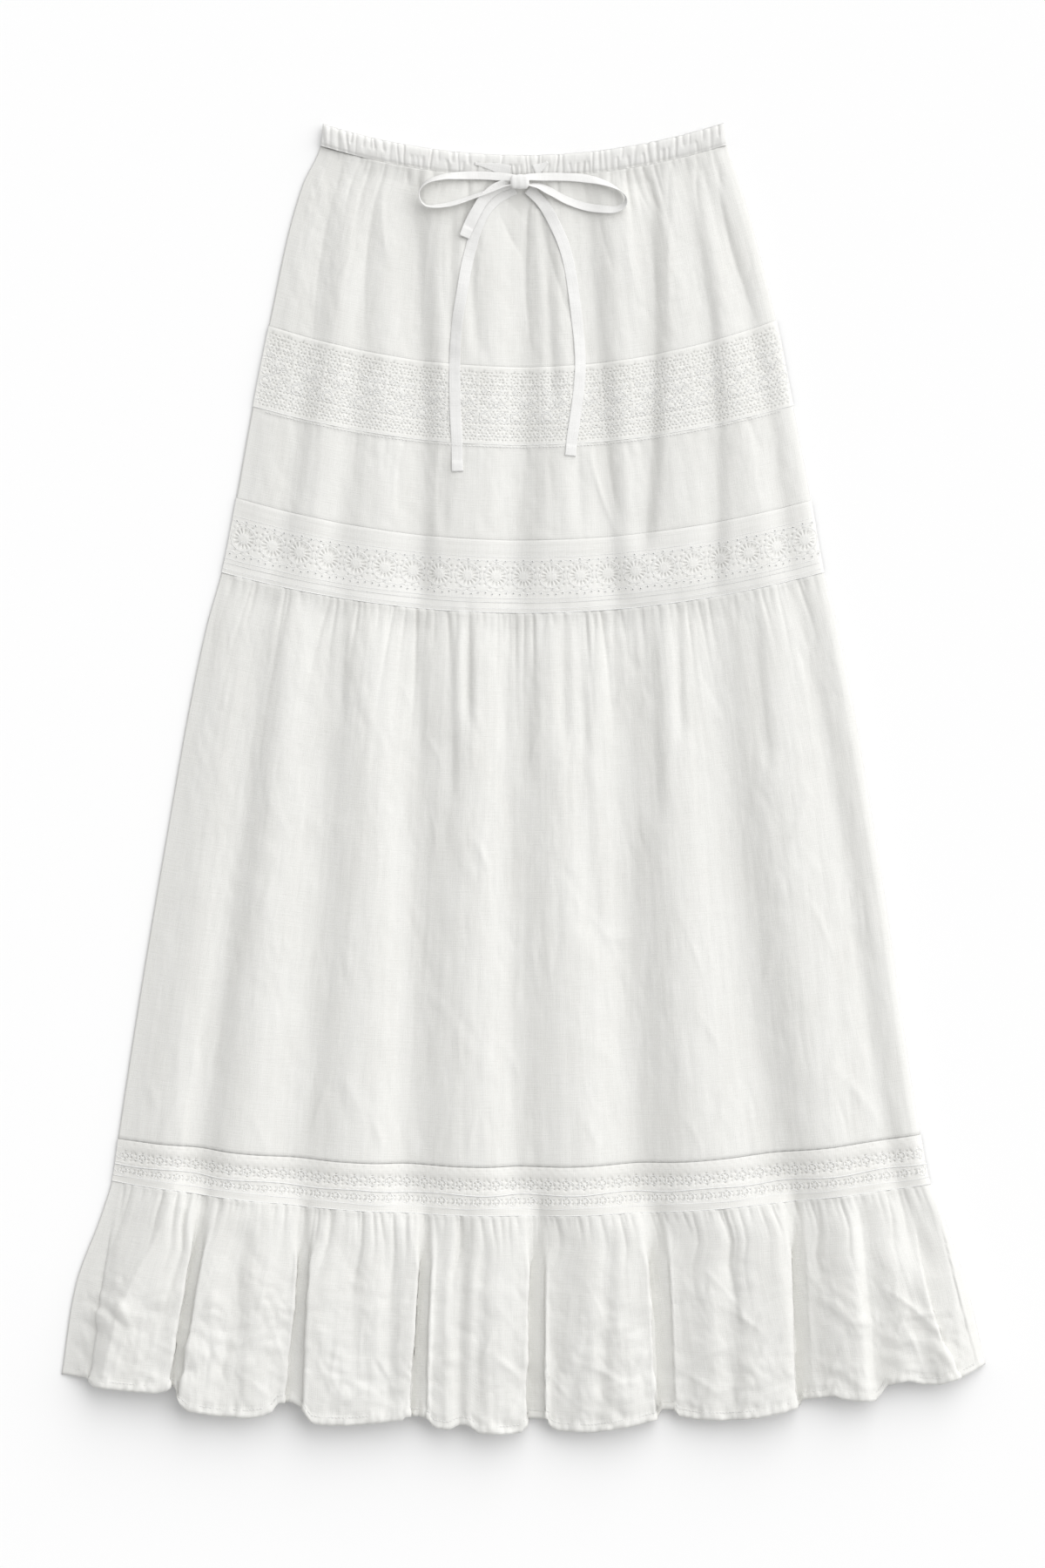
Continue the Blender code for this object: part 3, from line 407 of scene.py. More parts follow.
def crumple(x, y, size, seed, stretch=1.0):
    """Facets of creased linen, about size across, and stretched along y."""
    wide = 1.9 * size
    px = x + 0.35 * size * value_noise(x / wide, y / wide / stretch, seed)
    py = y / stretch + 0.35 * size * value_noise(x / wide + 9.0, y / wide / stretch + 4.0, seed + 1)
    total = np.zeros_like(px)
    # each layer of facets: direction in degrees, size and height, as shares
    layers = ((25.0, 1.0, 1.0), (-35.0, 0.53, 0.5), (70.0, 0.29, 0.26))
    for number, (turn, part, share) in enumerate(layers, seed + 2):
        c, s = math.cos(math.radians(turn)), math.sin(math.radians(turn))
        fold = value_noise((px * c + py * s) / size / part, (py * c - px * s) / size / part, number)
        total += share * (np.sqrt(fold**2 + 0.06**2) - 0.25)
    patches = smooth_step(0.65 + 1.1 * value_noise(x / 55.0, y / 55.0, seed + 9))
    return total * (0.35 + 0.65 * patches)


def crease_relief(x, y, creases):
    """Height of sharp creases. Each: x, y, direction in degrees, half length, height, width."""
    relief = np.zeros_like(x)
    for cx, cy, turn, half, height, width in creases:
        c, s = math.cos(math.radians(turn)), math.sin(math.radians(turn))
        near = (np.abs(x - cx) < half * 2 + 12) & (np.abs(y - cy) < half * 2 + 12)
        if not near.any():
            continue
        dx, dy = x[near] - cx, y[near] - cy
        along, aside = dx * c + dy * s, -dx * s + dy * c
        aside = aside + 0.06 * along**2 / half
        soft = np.sqrt(aside**2 + 0.45**2) - 0.45
        relief[near] += height * np.exp(-((along / half) ** 2)) * np.exp(-soft / width)
    return relief


def strewn_creases(seed, count, box, halves, heights, lean):
    """Creases strewn over a box (x0, x1, y0, y1): lengths, heights and main direction."""
    rng = np.random.default_rng(seed)
    made = []
    for _ in range(count):
        x, y = rng.uniform(box[0], box[1]), rng.uniform(box[2], box[3])
        half = rng.uniform(*halves)
        height = rng.uniform(*heights) * rng.choice([-1.0, 1.0])
        made.append((x, y, rng.normal(lean, 38.0), half, height, rng.uniform(1.2, 3.2)))
    return made


# Creases seen on the cloth: x, y, direction, half length, height, width.
LOWER_CREASES = [
    (8, 20, 75, 22, 0.7, 2.5), (12, -55, 60, 14, 0.6, 2.0), (-30, -58, -70, 10, 0.8, 1.6),
    (-66, 22, -60, 11, 0.7, 1.8), (-66, -35, -80, 18, 0.6, 2.0), (-86, 60, -65, 10, 0.6, 2.0),
    (-72, 95, 40, 9, 0.6, 1.5), (66, -118, 5, 12, 1.0, 1.8), (58, -112, -55, 14, 0.8, 2.0),
    (74, -128, 30, 9, -0.8, 1.6), (150, -100, 2, 12, 0.7, 1.0), (128, -130, -70, 20, 0.7, 2.2),
    (140, -190, -60, 16, 0.8, 2.0), (150, -235, 70, 22, 0.8, 2.2), (126, -262, -60, 14, 0.7, 1.8),
    (205, -30, 70, 26, 0.8, 2.4), (222, -110, -65, 24, 0.7, 2.4), (232, -205, 60, 18, 0.9, 2.0),
    (250, -236, -50, 22, 1.1, 2.2), (262, -250, 70, 16, 1.0, 2.0), (238, -252, -75, 14, -0.9, 1.8),
    (-120, -190, 45, 12, 0.6, 1.8), (-128, -232, -60, 16, 0.6, 2.0), (-150, -240, 70, 20, 0.7, 2.2),
    (-108, -262, -70, 13, 0.8, 1.8), (-226, -150, 10, 13, 0.6, 2.0), (-240, -205, 35, 16, 0.6, 2.4),
    (-262, -250, 60, 15, 0.8, 2.0), (-275, -235, -60, 12, 0.7, 1.8),
    (-196, -262, -65, 13, 0.7, 1.8), (-62, -168, -45, 18, 0.7, 2.0), (-50, -232, 60, 14, 0.8, 1.8),
    (-38, -262, 75, 12, 0.8, 1.8), (-8, -210, -60, 13, 0.6, 1.8), (8, -243, 55, 13, 0.8, 1.8),
    (60, -205, -40, 14, 0.8, 1.8), (72, -238, 65, 15, 0.8, 2.0), (50, -262, -60, 12, 0.8, 1.8),
    (98, 70, 60, 16, 0.6, 2.0),
]
UPPER_CREASES = [
    (1.6, 379, 90, 46, -2.0, 2.2), (3, 432, 90, 7, -3.2, 6.0), (-8, 428, 118, 10, -1.6, 3.0),
    (12, 428, 62, 9, -1.4, 3.0), (56, 216, 107.5, 26, 1.3, 1.6), (66, 218, 100, 24, -1.0, 2.2),
    (-62, 222, 84, 20, -0.8, 2.2), (20, 226, 96, 18, -0.7, 2.4), (-96, 215, 88, 22, 0.7, 2.2),
    (-11, 405, 116.6, 17, -1.2, 2.5), (23, 377, 107.3, 48, -1.4, 3.6),
    (95, 434, 112.8, 16, -1.5, 2.4), (108, 377, 90, 40, 0.9, 2.6), (155, 393, 105.1, 52, -1.5, 2.4),
    (136, 361, 100, 30, -0.8, 5.0), (-116.6, 383, 85.7, 46, -1.2, 3.4),
    (-150, 390, 80.9, 54, -1.2, 3.2), (-128, 440, 72.4, 15, -1.5, 2.0),
    (-77, 435, 99.5, 18, -1.5, 2.2), (69, 431, 97, 12, -1.2, 2.0), (-86, 448, 95, 8, -1.3, 2.0),
    (87, 437, 110, 14, -1.3, 2.0), (108, 437, 88, 16, -0.9, 2.0), (129, 438, 93, 18, -1.3, 2.2),
    (-60, 372, 92, 30, -0.8, 3.0), (60, 400, 104, 22, -0.9, 3.0), (-104, 410, 94, 22, 0.9, 2.6),
    (-33, 372, 86, 26, 0.8, 3.0), (80, 380, 100, 26, 0.7, 3.0), (-137, 447, 80, 9, -1.2, 1.8),
    (146, 446, 98, 9, -1.2, 1.8), (-66, 449, 88, 7, -1.2, 1.8),
]
RUFFLE_CREASES = [
    (-272, -410, 20, 13, 0.7, 2.4), (-262, -424, -30, 16, 0.7, 2.6), (-284, -428, 60, 11, 0.6, 2.0),
    (-252, -440, 15, 14, -1.2, 2.2), (-278, -442, -15, 12, 1.1, 2.0),
    (-300, -428, 75, 14, 0.9, 2.2), (-230, -360, 70, 18, 0.9, 2.4), (-214, -440, 50, 13, 1.1, 2.2),
    (-196, -452, -40, 13, 1.0, 2.2), (-192, -375, 80, 24, 1.0, 3.0), (-232, -462, 30, 9, 0.9, 1.8),
    (-180, -425, -75, 18, 0.9, 2.4), (-140, -432, 78, 18, 1.0, 2.4),
    (-128, -448, -20, 20, 1.4, 2.4), (-112, -462, -8, 16, 1.2, 2.2),
    (-134, -468, 40, 10, -1.1, 2.0), (-120, -415, 85, 26, 1.0, 3.0),
    (-102, -440, -60, 12, 0.9, 2.0), (-146, -460, 55, 9, 0.9, 1.8), (-100, -470, 15, 9, 0.9, 1.8),
    (-28, -380, 60, 16, 1.1, 2.4), (-16, -396, -50, 12, 1.0, 2.0), (-26, -420, 70, 14, 1.0, 2.2),
    (-12, -436, -40, 12, 1.1, 2.0), (-24, -455, 30, 11, -1.0, 2.0), (-6, -462, 65, 11, 0.9, 1.8),
    (-32, -474, -30, 9, 0.9, 1.8), (50, -380, -62, 22, 1.1, 2.6), (44, -392, 84, 26, 0.9, 3.4),
    (58, -440, -25, 16, 1.3, 2.2), (76, -448, 12, 16, 1.2, 2.2), (48, -462, 50, 11, 1.1, 2.0),
    (88, -430, 60, 14, 1.0, 2.2), (66, -468, -12, 14, -1.0, 2.0), (28, -452, -50, 10, 1.0, 2.0),
    (34, -400, 85, 22, 0.7, 2.6), (148, -378, -48, 24, 1.4, 2.6), (166, -402, -35, 16, 1.3, 2.4),
    (146, -424, 20, 16, 1.1, 2.4), (176, -428, 65, 18, 1.1, 2.4), (132, -448, -30, 16, 1.3, 2.2),
    (158, -452, 10, 20, 1.3, 2.2), (184, -456, 30, 14, 1.2, 2.0), (122, -462, -20, 11, 1.0, 2.0),
    (170, -466, -12, 12, -1.0, 1.8), (196, -404, 72, 22, 0.9, 2.6), (236, -424, 62, 18, 0.9, 2.4),
    (248, -448, -40, 12, 0.9, 2.0), (288, -392, -38, 20, 1.6, 2.2), (298, -398, 10, 12, 1.4, 2.0),
    (280, -404, 70, 12, 1.2, 2.0), (290, -420, -65, 16, 1.2, 2.4), (304, -430, 40, 12, 1.0, 2.0),
    (284, -440, 15, 11, 1.0, 2.0), (318, -400, 70, 20, 0.9, 2.6), (330, -424, -40, 11, 0.9, 2.0),
]
STREWN_LOWER = strewn_creases(21, 230, (-300, 300, -300, 90), (6, 18), (0.12, 0.34), 78.0)
STREWN_RUFFLE = strewn_creases(22, 190, (-350, 350, -490, -330), (5, 15), (0.15, 0.55), 60.0)
STREWN_UPPER = strewn_creases(23, 90, (-215, 215, 170, 450), (6, 18), (0.08, 0.22), 84.0)


HEM_DEEP, HEM_STITCH = 6.9, 6.2      # the turned-up hem, and its stitched line, above the edge


def hem_relief(u, drop):
    """The turned-up hem: a raised strip with its stitched line and its puckers."""
    up = DROP["hem"] - drop
    strip = smooth_step((HEM_DEEP - up) / 1.2) * 0.7
    stitched = -0.55 * np.exp(-(((up - HEM_STITCH) / 1.0) ** 2))
    pucker = value_noise(u / 4.6, up / 9.0, 31) * 0.75 + value_noise(u / 9.0, up / 14.0, 32) * 0.7
    return strip + stitched + pucker * smooth_step((16.0 - up) / 12.0)


def front_relief(tier, u, points, drop):
    """Height of all the small detail on a tier of the front."""
    x, y = points[..., 0], points[..., 1]
    relief = np.zeros_like(u)
    for gather in GATHERS:
        if gather.tier == tier:
            relief += gather_relief(u, drop, gather)
    relief += (0.22 * value_noise(u / 9.0, drop / 95.0, 41)
               + 0.12 * value_noise(u / 4.0, drop / 60.0, 42))
    relief += 0.25 * value_noise(x / 22.0, y / 34.0, 43)
    if tier == "hem_ruffle":
        lower = smooth_step((drop - 806.0 + 26.0 * value_noise(x / 21.0, y / 60.0, 109)) / 90.0)
        between_lobes = in_recess(x, drop)[0] * smooth_step((308.0 - np.abs(x)) / 10.0)
        lower = lower * (1.0 - 0.85 * between_lobes)
        relief += crease_relief(x, y, RUFFLE_CREASES + STREWN_RUFFLE) * lower
        relief += 3.0 * (0.15 + 0.85 * lower) * crumple(x, y, 27.0, 101)
        relief += hem_relief(u, drop)
    elif tier == "lower_tier":
        relief += crease_relief(x, y, LOWER_CREASES + STREWN_LOWER)
        relief += 0.7 * crumple(x, y, 15.0, 121, 2.2)
    else:
        relief += crease_relief(x, y, UPPER_CREASES + STREWN_UPPER)
        relief += 0.6 * crumple(x, y, 13.0, 141, 2.0)
    return relief


# ---------------------------------------------------------------- meshes
def linked(name, data):
    """A new object in the scene with this data."""
    item = bpy.data.objects.new(name, data)
    bpy.context.scene.collection.objects.link(item)
    return item


def new_object(name, verts, faces, uv, material):
    """A mesh object. verts and uv, the place on the cloth of each vertex, are in millimetres."""
    data = bpy.data.meshes.new(name)
    data.from_pydata((np.asarray(verts) * MM).tolist(), [], faces)
    data.validate()
    layer = data.uv_layers.new(name="cloth")
    corner = np.empty(len(data.loops), dtype=np.int64)
    data.loops.foreach_get("vertex_index", corner)
    layer.data.foreach_set("uv", (np.asarray(uv) * MM).astype(np.float32)[corner].ravel())
    data.shade_smooth()
    data.materials.append(material)
    return linked(name, data)


def grid_faces(numbers, flip):
    """Quads over a grid of vertex numbers."""
    a, b = numbers[:-1, :-1], numbers[1:, :-1]
    c, d = numbers[1:, 1:], numbers[:-1, 1:]
    order = (a, d, c, b) if flip else (a, b, c, d)
    return np.stack([part.ravel() for part in order], axis=1).tolist()


def rim_faces(fine, coarse, flip):
    """Triangles between an edge and the coarser edge beside it, which has half its segments."""
    made = []
    for k in range(len(coarse) - 1):
        a, m, b = fine[2 * k], fine[2 * k + 1], fine[2 * k + 2]
        c, d = coarse[k], coarse[k + 1]
        for face in ((a, c, m), (c, d, m), (m, d, b)):
            made.append(face[::-1] if flip else face)
    return [list(face) for face in made]


def shell(outer, inner, uv, up):
    """Closed thin wall: a fine outer grid, and an inner grid with half its rows and columns."""
    rows, cols = outer.shape[:2]
    top = np.arange(rows * cols).reshape(rows, cols)
    low = rows * cols + np.arange(inner.shape[0] * inner.shape[1]).reshape(inner.shape[:2])
    faces = grid_faces(top, not up) + grid_faces(low, up)
    faces += rim_faces(top[0], low[0], up) + rim_faces(top[-1], low[-1], not up)
    faces += rim_faces(top[:, 0], low[:, 0], not up) + rim_faces(top[:, -1], low[:, -1], up)
    verts = np.concatenate([outer.reshape(-1, 3), inner.reshape(-1, 3)])
    uvs = np.concatenate([uv.reshape(-1, 2), uv[::2, ::2].reshape(-1, 2)])
    return verts, faces, uvs


def grid_normals(points):
    """Unit normals of a grid of points."""
    across = np.gradient(points, axis=1)
    down = np.gradient(points, axis=0)
    normal = np.cross(down, across)
    return normal / np.maximum(np.linalg.norm(normal, axis=-1, keepdims=True), 1e-9)


def even_columns(form, drops, count):
    """Places across, one row for each drop, that divide the cloth evenly."""
    fine = np.linspace(-1.0, 1.0, 3201)
    across = []
    for drop in drops:
        points = form(fine, np.full_like(fine, drop))
        walked = np.linalg.norm(np.diff(points[:, [0, 2]], axis=0), axis=1)
        walked = np.concatenate([[0.0], np.cumsum(walked)])
        across.append(np.interp(np.linspace(0.0, walked[-1], count), walked, fine))
    return np.array(across)


def spaced_drops(panel, count):
    """Drops from a panel's top to its foot, closer together below the seam that gathers it.
    Both its edges are turned in under the piece beside it, except at the hem."""
    first = DROP[panel.top] - (UNDERLAP if panel.top != "waist seam" else 0.0)
    last = DROP[panel.foot] + (UNDERLAP if panel.foot != "hem" else -SEAM_GAP / 2)
    t = np.linspace(0.0, 1.0, count)
    eased = t + 0.42 * (t**2 - t) * (1.0 if panel.name != "hem_ruffle" else 0.5)
    return first + (last - first) * eased


def tier_front(panel, material):
    """The front of a tier: its form with the small detail on it."""
    drops = spaced_drops(panel, panel.rows)
    # the even columns are worked out for every fifth row, and mixed between
    keys = np.linspace(0, panel.rows - 1, max(6, panel.rows // 5)).round().astype(int)
    at_keys = even_columns(front_form, drops[keys], panel.columns)
    mix = np.interp(np.arange(panel.rows), keys, np.arange(len(keys)))
    low = np.clip(mix.astype(int), 0, len(keys) - 2)
    part = (mix - low)[:, None]
    across = at_keys[low] * (1 - part) + at_keys[low + 1] * part
    cut = CLOTH_SIZE[panel.name][0] / MM
    along = np.broadcast_to(np.linspace(-cut / 2, cut / 2, panel.columns), across.shape)
    drop = np.broadcast_to(drops[:, None], across.shape)
    form = front_form(across, drop)
    normal = grid_normals(form)
    relief = front_relief(panel.name, along, form, drop)
    tucked = smooth_step((DROP[panel.top] - drop + 0.1) / 1.0)
    if panel.foot != "hem":
        tucked = tucked + smooth_step((drop - DROP[panel.foot] + 0.1) / 1.0)
        relief = relief * smooth_step((DROP[panel.foot] - drop + 0.8) / 4.0)
    relief = relief * (1.0 - tucked) - TUCK * tucked
    edge = off_side(across, 150.0, 8.0)
    relief = relief * edge
    thin = thin_side(across, drop)
    skin = SKIN * (1.0 - 0.5 * thin)
    outer = form + normal * (skin / 2 + relief)[..., None]
    # towards the side seams, where the cloth is thin, both sides may lie lower
    outer[..., 2] = np.maximum(outer[..., 2], FRONT_FLOOR - 0.95 * thin)
    slack = np.where(edge > 0.5, SLACK, 0.0)
    slack = slack * smooth_step((drops - drops[0]) / 3.0)[:, None]
    slack = slack * smooth_step((drops[-1] - drops) / 5.0)[:, None]
    for gather in GATHERS:
        if gather.tier == panel.name:
            near_seam = 1.0 - smooth_step((drop - gather.start) / 40.0)
            slack = slack + gather.height * near_seam * edge * 0.6
    inner = outer - normal * (skin + slack)[..., None]
    inner[..., 2] = np.maximum(inner[..., 2], INSIDE_FLOOR - 0.55 * thin)
    uv = np.stack([along, drop], axis=-1)
    return new_object(panel.name + "_cloth", *shell(outer, inner[::2, ::2], uv, True), material)


def back_height(across, drop, x):
    """Height of the back cloth's underside: low folds in the room that the front leaves."""
    front = front_form(across, drop)[..., 2]
    room = np.clip(front - FRONT_FLOOR, 0.0, 30.0)
    folds = 0.5 + 0.5 * value_noise(x / 26.0 + 7.0, drop / 210.0, 51)
    ruffle = smooth_step((drop - DROP["lower lace foot"]) / 60.0)
    pleats = 0.5 + 0.5 * np.cos(x / 3.1 + 2.2 * value_noise(x / 30.0, drop / 120.0, 53))
    folds = folds * (1.0 - ruffle) + 3.2 * pleats * ruffle
    small = 0.5 + 0.5 * value_noise(x / 8.5, drop / 70.0 + 3.0, 52)
    low_side = 1.0 - side_share(across, drop, 26.0)
    return np.clip(np.minimum(room * 0.42, 3.2) * folds + 0.45 * small, 0.0, 5.0) * low_side


def back_form(across, drop):
    """Underside of the back cloth: low folds, curling up to the seam at both sides."""
    across, drop = np.broadcast_arrays(np.asarray(across, float), np.asarray(drop, float))
    x, y = plan_point(across, drop)
    side = side_share(across, drop, BACK_ROLL)
    curl = SIDE_SEAM_Z - SEAM_GAP / 2 - SKIN / 2
    height = back_height(across, drop, x) + curl * (1.0 - np.sqrt(1.0 - side**2))
    y = y + BACK_HEM_RISE * ruffle_share(drop) ** 2 * (1.0 - across**8)
    return np.stack([x, y, height], axis=-1)


def tier_back(panel, material):
    """The back of a tier: flat on the surface, with low folds, gathers and creases."""
    rows, cols = panel.rows // 6 * 2 + 1, panel.columns // 5 * 2 + 1
    drops = spaced_drops(panel, rows)
    across = np.broadcast_to(np.sin(np.linspace(-np.pi / 2, np.pi / 2, cols)) * 0.25
                             + np.linspace(-1, 1, cols) * 0.75, (rows, cols))
    drop = np.broadcast_to(drops[:, None], across.shape)
    form = back_form(across, drop)
    along = across * CLOTH_SIZE[panel.name][0] / MM / 2
    relief = np.zeros(across.shape)
    for gather in GATHERS:
        if gather.tier == panel.name:
            relief += gather_relief(along + 900.0, drop, gather._replace(seed=gather.seed + 50))
    relief += np.abs(crease_relief(-form[..., 0], form[..., 1], STREWN_LOWER + STREWN_RUFFLE))
    if panel.name == "hem_ruffle":
        relief += np.clip(0.4 - hem_relief(along, drop), 0.0, 1.0)
    upward = np.array([0.0, 0.0, 1.0])
    pressed = np.clip(relief * 0.45, 0.0, 0.9) * off_side(across, 150.0, 8.0)
    outer = form + pressed[..., None] * upward
    inner = outer + (SKIN * (1.0 - 0.5 * thin_side(across, drop)))[..., None] * upward
    uv = np.stack([along, drop], axis=-1)
    return new_object(panel.name + "_under", *shell(outer, inner[::2, ::2], uv, False), material)


# ---------------------------------------------------------------- materials
def add_node(material, kind, inputs, **settings):
    """A new node with its settings. inputs: a socket, or a value, for each input that is set."""
    node = material.node_tree.nodes.new("ShaderNode" + kind)
    for name, value in settings.items():
        setattr(node, name, value)
    for name, value in inputs.items():
        if isinstance(value, bpy.types.NodeSocket):
            material.node_tree.links.new(value, node.inputs[name])
        else:
            node.inputs[name].default_value = value
    return node


def plain(name, colour, roughness, sheen):
    """A new matt material and its shader."""
    material = bpy.data.materials.new(name)
    material.use_nodes = True
    shader = material.node_tree.nodes["Principled BSDF"]
    for key, value in (("Base Color", (*colour, 1.0)), ("Roughness", roughness),
                       ("Sheen Weight", sheen), ("Sheen Roughness", 0.5),
                       ("Specular IOR Level", 0.25)):
        shader.inputs[key].default_value = value
    return material, shader


def cotton(name, light, dark, thread, sheen=0.12, roughness=0.88):
    """Plain woven cotton: warp and weft threads, slubs and soft changes of tone."""
    material, shader = plain(name, light, roughness, sheen)
    place = add_node(material, "UVMap", {}, uv_map="cloth").outputs["UV"]

    def threads(direction):
        """Threads that run one way."""
        wave = {"Vector": place, "Scale": thread, "Distortion": 1.2, "Detail": 1.0,
                "Detail Scale": 1.5}
        return add_node(material, "TexWave", wave, bands_direction=direction).outputs["Fac"]

    def noise(across, along, detail):
        """Noise over the cloth's own coordinates, with its bumps to a metre each way."""
        mapping = add_node(material, "Mapping", {"Vector": place, "Scale": (across, along, 1.0)})
        inputs = {"Vector": mapping.outputs["Vector"], "Scale": 1.0, "Detail": detail}
        return add_node(material, "TexNoise", inputs).outputs["Fac"]

    def combined(kind, first, second):
        """Sum or product of two values, each a socket or a number."""
        return add_node(material, "Math", {0: first, 1: second}, operation=kind).outputs["Value"]

    woven = combined("ADD", threads("X"), threads("Y"))
    slubs = combined("ADD", noise(1500.0, 60.0, 3.0), noise(50.0, 1300.0, 3.0))
    fine = add_node(material, "Bump", {"Height": woven, "Strength": 0.35, "Distance": 0.00012})
    rough = add_node(material, "Bump", {"Height": slubs, "Strength": 0.5, "Distance": 0.0004,
                                        "Normal": fine.outputs["Normal"]})
    tone = combined("ADD", combined("MULTIPLY", slubs, 0.5),
                    combined("MULTIPLY", noise(38.0, 16.0, 4.0), 0.8))
    ramp = add_node(material, "ValToRGB", {"Fac": tone})
    for element, at, colour in zip(ramp.color_ramp.elements, (0.55, 1.0), (dark, light)):
        element.position = at
        element.color = (*colour, 1.0)
    material.node_tree.links.new(rough.outputs["Normal"], shader.inputs["Normal"])
    material.node_tree.links.new(ramp.outputs["Color"], shader.inputs["Base Color"])
    return material


# Light and dark tone of the cloth, and its threads to a metre.
COTTON = cotton("white_cotton", (0.780, 0.777, 0.752), (0.738, 0.732, 0.702), 900.0)
CASING = cotton("casing_cotton", (0.782, 0.779, 0.762), (0.742, 0.737, 0.712), 900.0)
LACE_FLORAL = cotton("floral_lace_cotton", (0.806, 0.802, 0.776), (0.744, 0.739, 0.706), 620.0)
LACE_EYELET = cotton("eyelet_lace_cotton", (0.800, 0.796, 0.773), (0.740, 0.734, 0.704), 620.0)
LACE_TUCKED = cotton("tucked_lace_cotton", (0.792, 0.786, 0.760), (0.732, 0.724, 0.690), 620.0)
TAPE = cotton("tape_cotton", (0.825, 0.822, 0.81), (0.78, 0.776, 0.762), 800.0, 0.15, 0.85)
THREAD = cotton("sewing_thread", (0.86, 0.86, 0.85), (0.80, 0.80, 0.785), 2400.0, 0.3, 0.7)


# ---------------------------------------------------------------- tiers
def settle(item, node):
    """Ties a piece to the part's body, and hides the solid that it stands for, if it has one."""
    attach(item, "root")
    if node:
        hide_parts(node)


for tier in TIERS:
    shown = tier_front(tier, COTTON)
    under = tier_back(tier, COTTON)
    settle(under, tier.name + "_back")
    settle(shown, tier.name + "_front")


# ---------------------------------------------------------------- waist casing
def casing_grooves(x, v, seed, pitch):
    """Depth of the grooves of the gathered casing. v: 0 at its top edge and 1 at its seam."""
    rng = np.random.default_rng(seed)
    depth = np.zeros_like(x)
    place = -160.0
    while place < 160.0:
        place += pitch * rng.uniform(0.6, 1.4)
        lean, bow = rng.uniform(-1.6, 1.6), rng.uniform(-0.8, 0.8)
        strength, wide = rng.uniform(0.35, 1.0), rng.uniform(0.85, 1.6)
        kind = rng.integers(0, 4)
        low, high = ((-0.2, 1.2), (-0.2, 1.2), (-0.2, 0.62), (0.35, 1.2))[kind]
        near = np.abs(x - place) < 8.0
        t = v[near]
        aside = x[near] - place - lean * (t - 0.5) - bow * np.cos(np.pi * t)
        run = smooth_step((t - low) / 0.2) * smooth_step((high - t) / 0.2)
        depth[near] = np.maximum(depth[near], strength * run * np.exp(-((aside / wide) ** 2)))
    return depth


GROOVE_PITCH = 4.9      # mean distance between the casing's grooves
GROOVE_DEEP = 1.35
CASING_FULL = 1.3       # length of its flat cloth, over its length when the elastic draws it in


def casing_half(side, cols, rows, seed, material):
    """Half of the casing: cloth from the seam up over the elastic's edge and down inside.

    side is 1 for the front half, above the seat, and -1 for the back half, below it.
    """
    seat = BAND_THICK + SEAM_GAP if side > 0 else BAND_THICK
    t = np.linspace(-np.pi / 2, np.pi / 2, cols)
    across = np.broadcast_to(0.93 * np.linspace(-1, 1, cols) + 0.07 * np.sin(t), (rows, cols))
    v = np.linspace(1.0, 0.0, rows)[:, None] + 0.0 * across
    x, y_seam = plan_point(across, BAND_DEEP - SEAM_GAP / 2)
    x_top, y_top = plan_point(across, 0.0)
    x, y = x_top * (1 - v) + x * v, y_top * (1 - v) + y_seam * v
    roll = np.sqrt(np.clip(1.0 - side_share(across, 0.0, BAND_THICK + 1.0) ** 2, 0.0, 1.0))
    grooves = casing_grooves(x, v, seed, GROOVE_PITCH)
    puff = (0.30 * value_noise(x / 7.0, v * 1.3, seed + 1)
            + 0.18 * value_noise(x / 2.6, v * 2.0, seed + 2))
    profile = np.clip(1.0 - np.abs(2 * v - 1.0) ** 3.2, 0.0, 1.0) ** 0.5
    stitched = 0.45 * np.exp(-(((v - 0.93) / 0.03) ** 2))
    depth = GROOVE_DEEP * grooves + stitched
    base = (0.38 if side > 0 else 0.25) * smooth_step((v - 0.5) * 2.0)
    thick = BAND_THICK * np.maximum(profile, base) * roll
    thick = thick + (puff - depth * profile**0.5) * roll * 0.9
    thick = np.clip(thick, 0.25, BAND_THICK + (0.5 if side > 0 else 0.0))
    y = y - 0.8 * grooves * (1.0 - smooth_step(v * 3.0)) + 0.25 * puff * (1.0 - v)
    outer = np.stack([x, y, seat + side * thick], axis=-1)
    inside = outer[::-3].copy()
    inside[..., 2] = seat + side * (0.12 + 0.3 * (thick[::-3] - thick.min()))
    points = np.concatenate([outer, inside[1:]])
    deep = CLOTH_SIZE["waistband"][1] / MM
    uv = np.stack([np.broadcast_to(x[0] * CASING_FULL, points.shape[:2]),
                   np.linspace(0, deep, len(points))[:, None] + 0 * points[..., 0]], axis=-1)
    numbers = np.arange(points.shape[0] * cols).reshape(points.shape[:2])
    faces = grid_faces(numbers, side > 0)
    name = "waist_casing" if side > 0 else "waist_casing_under"
    return new_object(name, points.reshape(-1, 3), faces, uv.reshape(-1, 2), material)


# ---------------------------------------------------------------- lace
def surface_normals(form, across, drop):
    """Unit normals of a surface at scattered places, away from the cloth."""
    step = 8e-4
    left, right = np.clip(across - step, -1.0, 1.0), np.clip(across + step, -1.0, 1.0)
    along_x = form(right, drop) - form(left, drop)
    along_y = form(across, drop - 0.25) - form(across, drop + 0.25)
    normal = np.cross(along_x, along_y)
    return normal / np.maximum(np.linalg.norm(normal, axis=-1, keepdims=True), 1e-9)


def oval(cx, cy, rx, ry, turn, count, swell=1.0):
    """Points round an oval."""
    t = np.arange(count) * 2 * np.pi / count
    c, s = math.cos(math.radians(turn)), math.sin(math.radians(turn))
    px, py = np.cos(t) * rx * swell, np.sin(t) * ry * swell
    return np.stack([cx + px * c - py * s, cy + px * s + py * c], axis=-1)


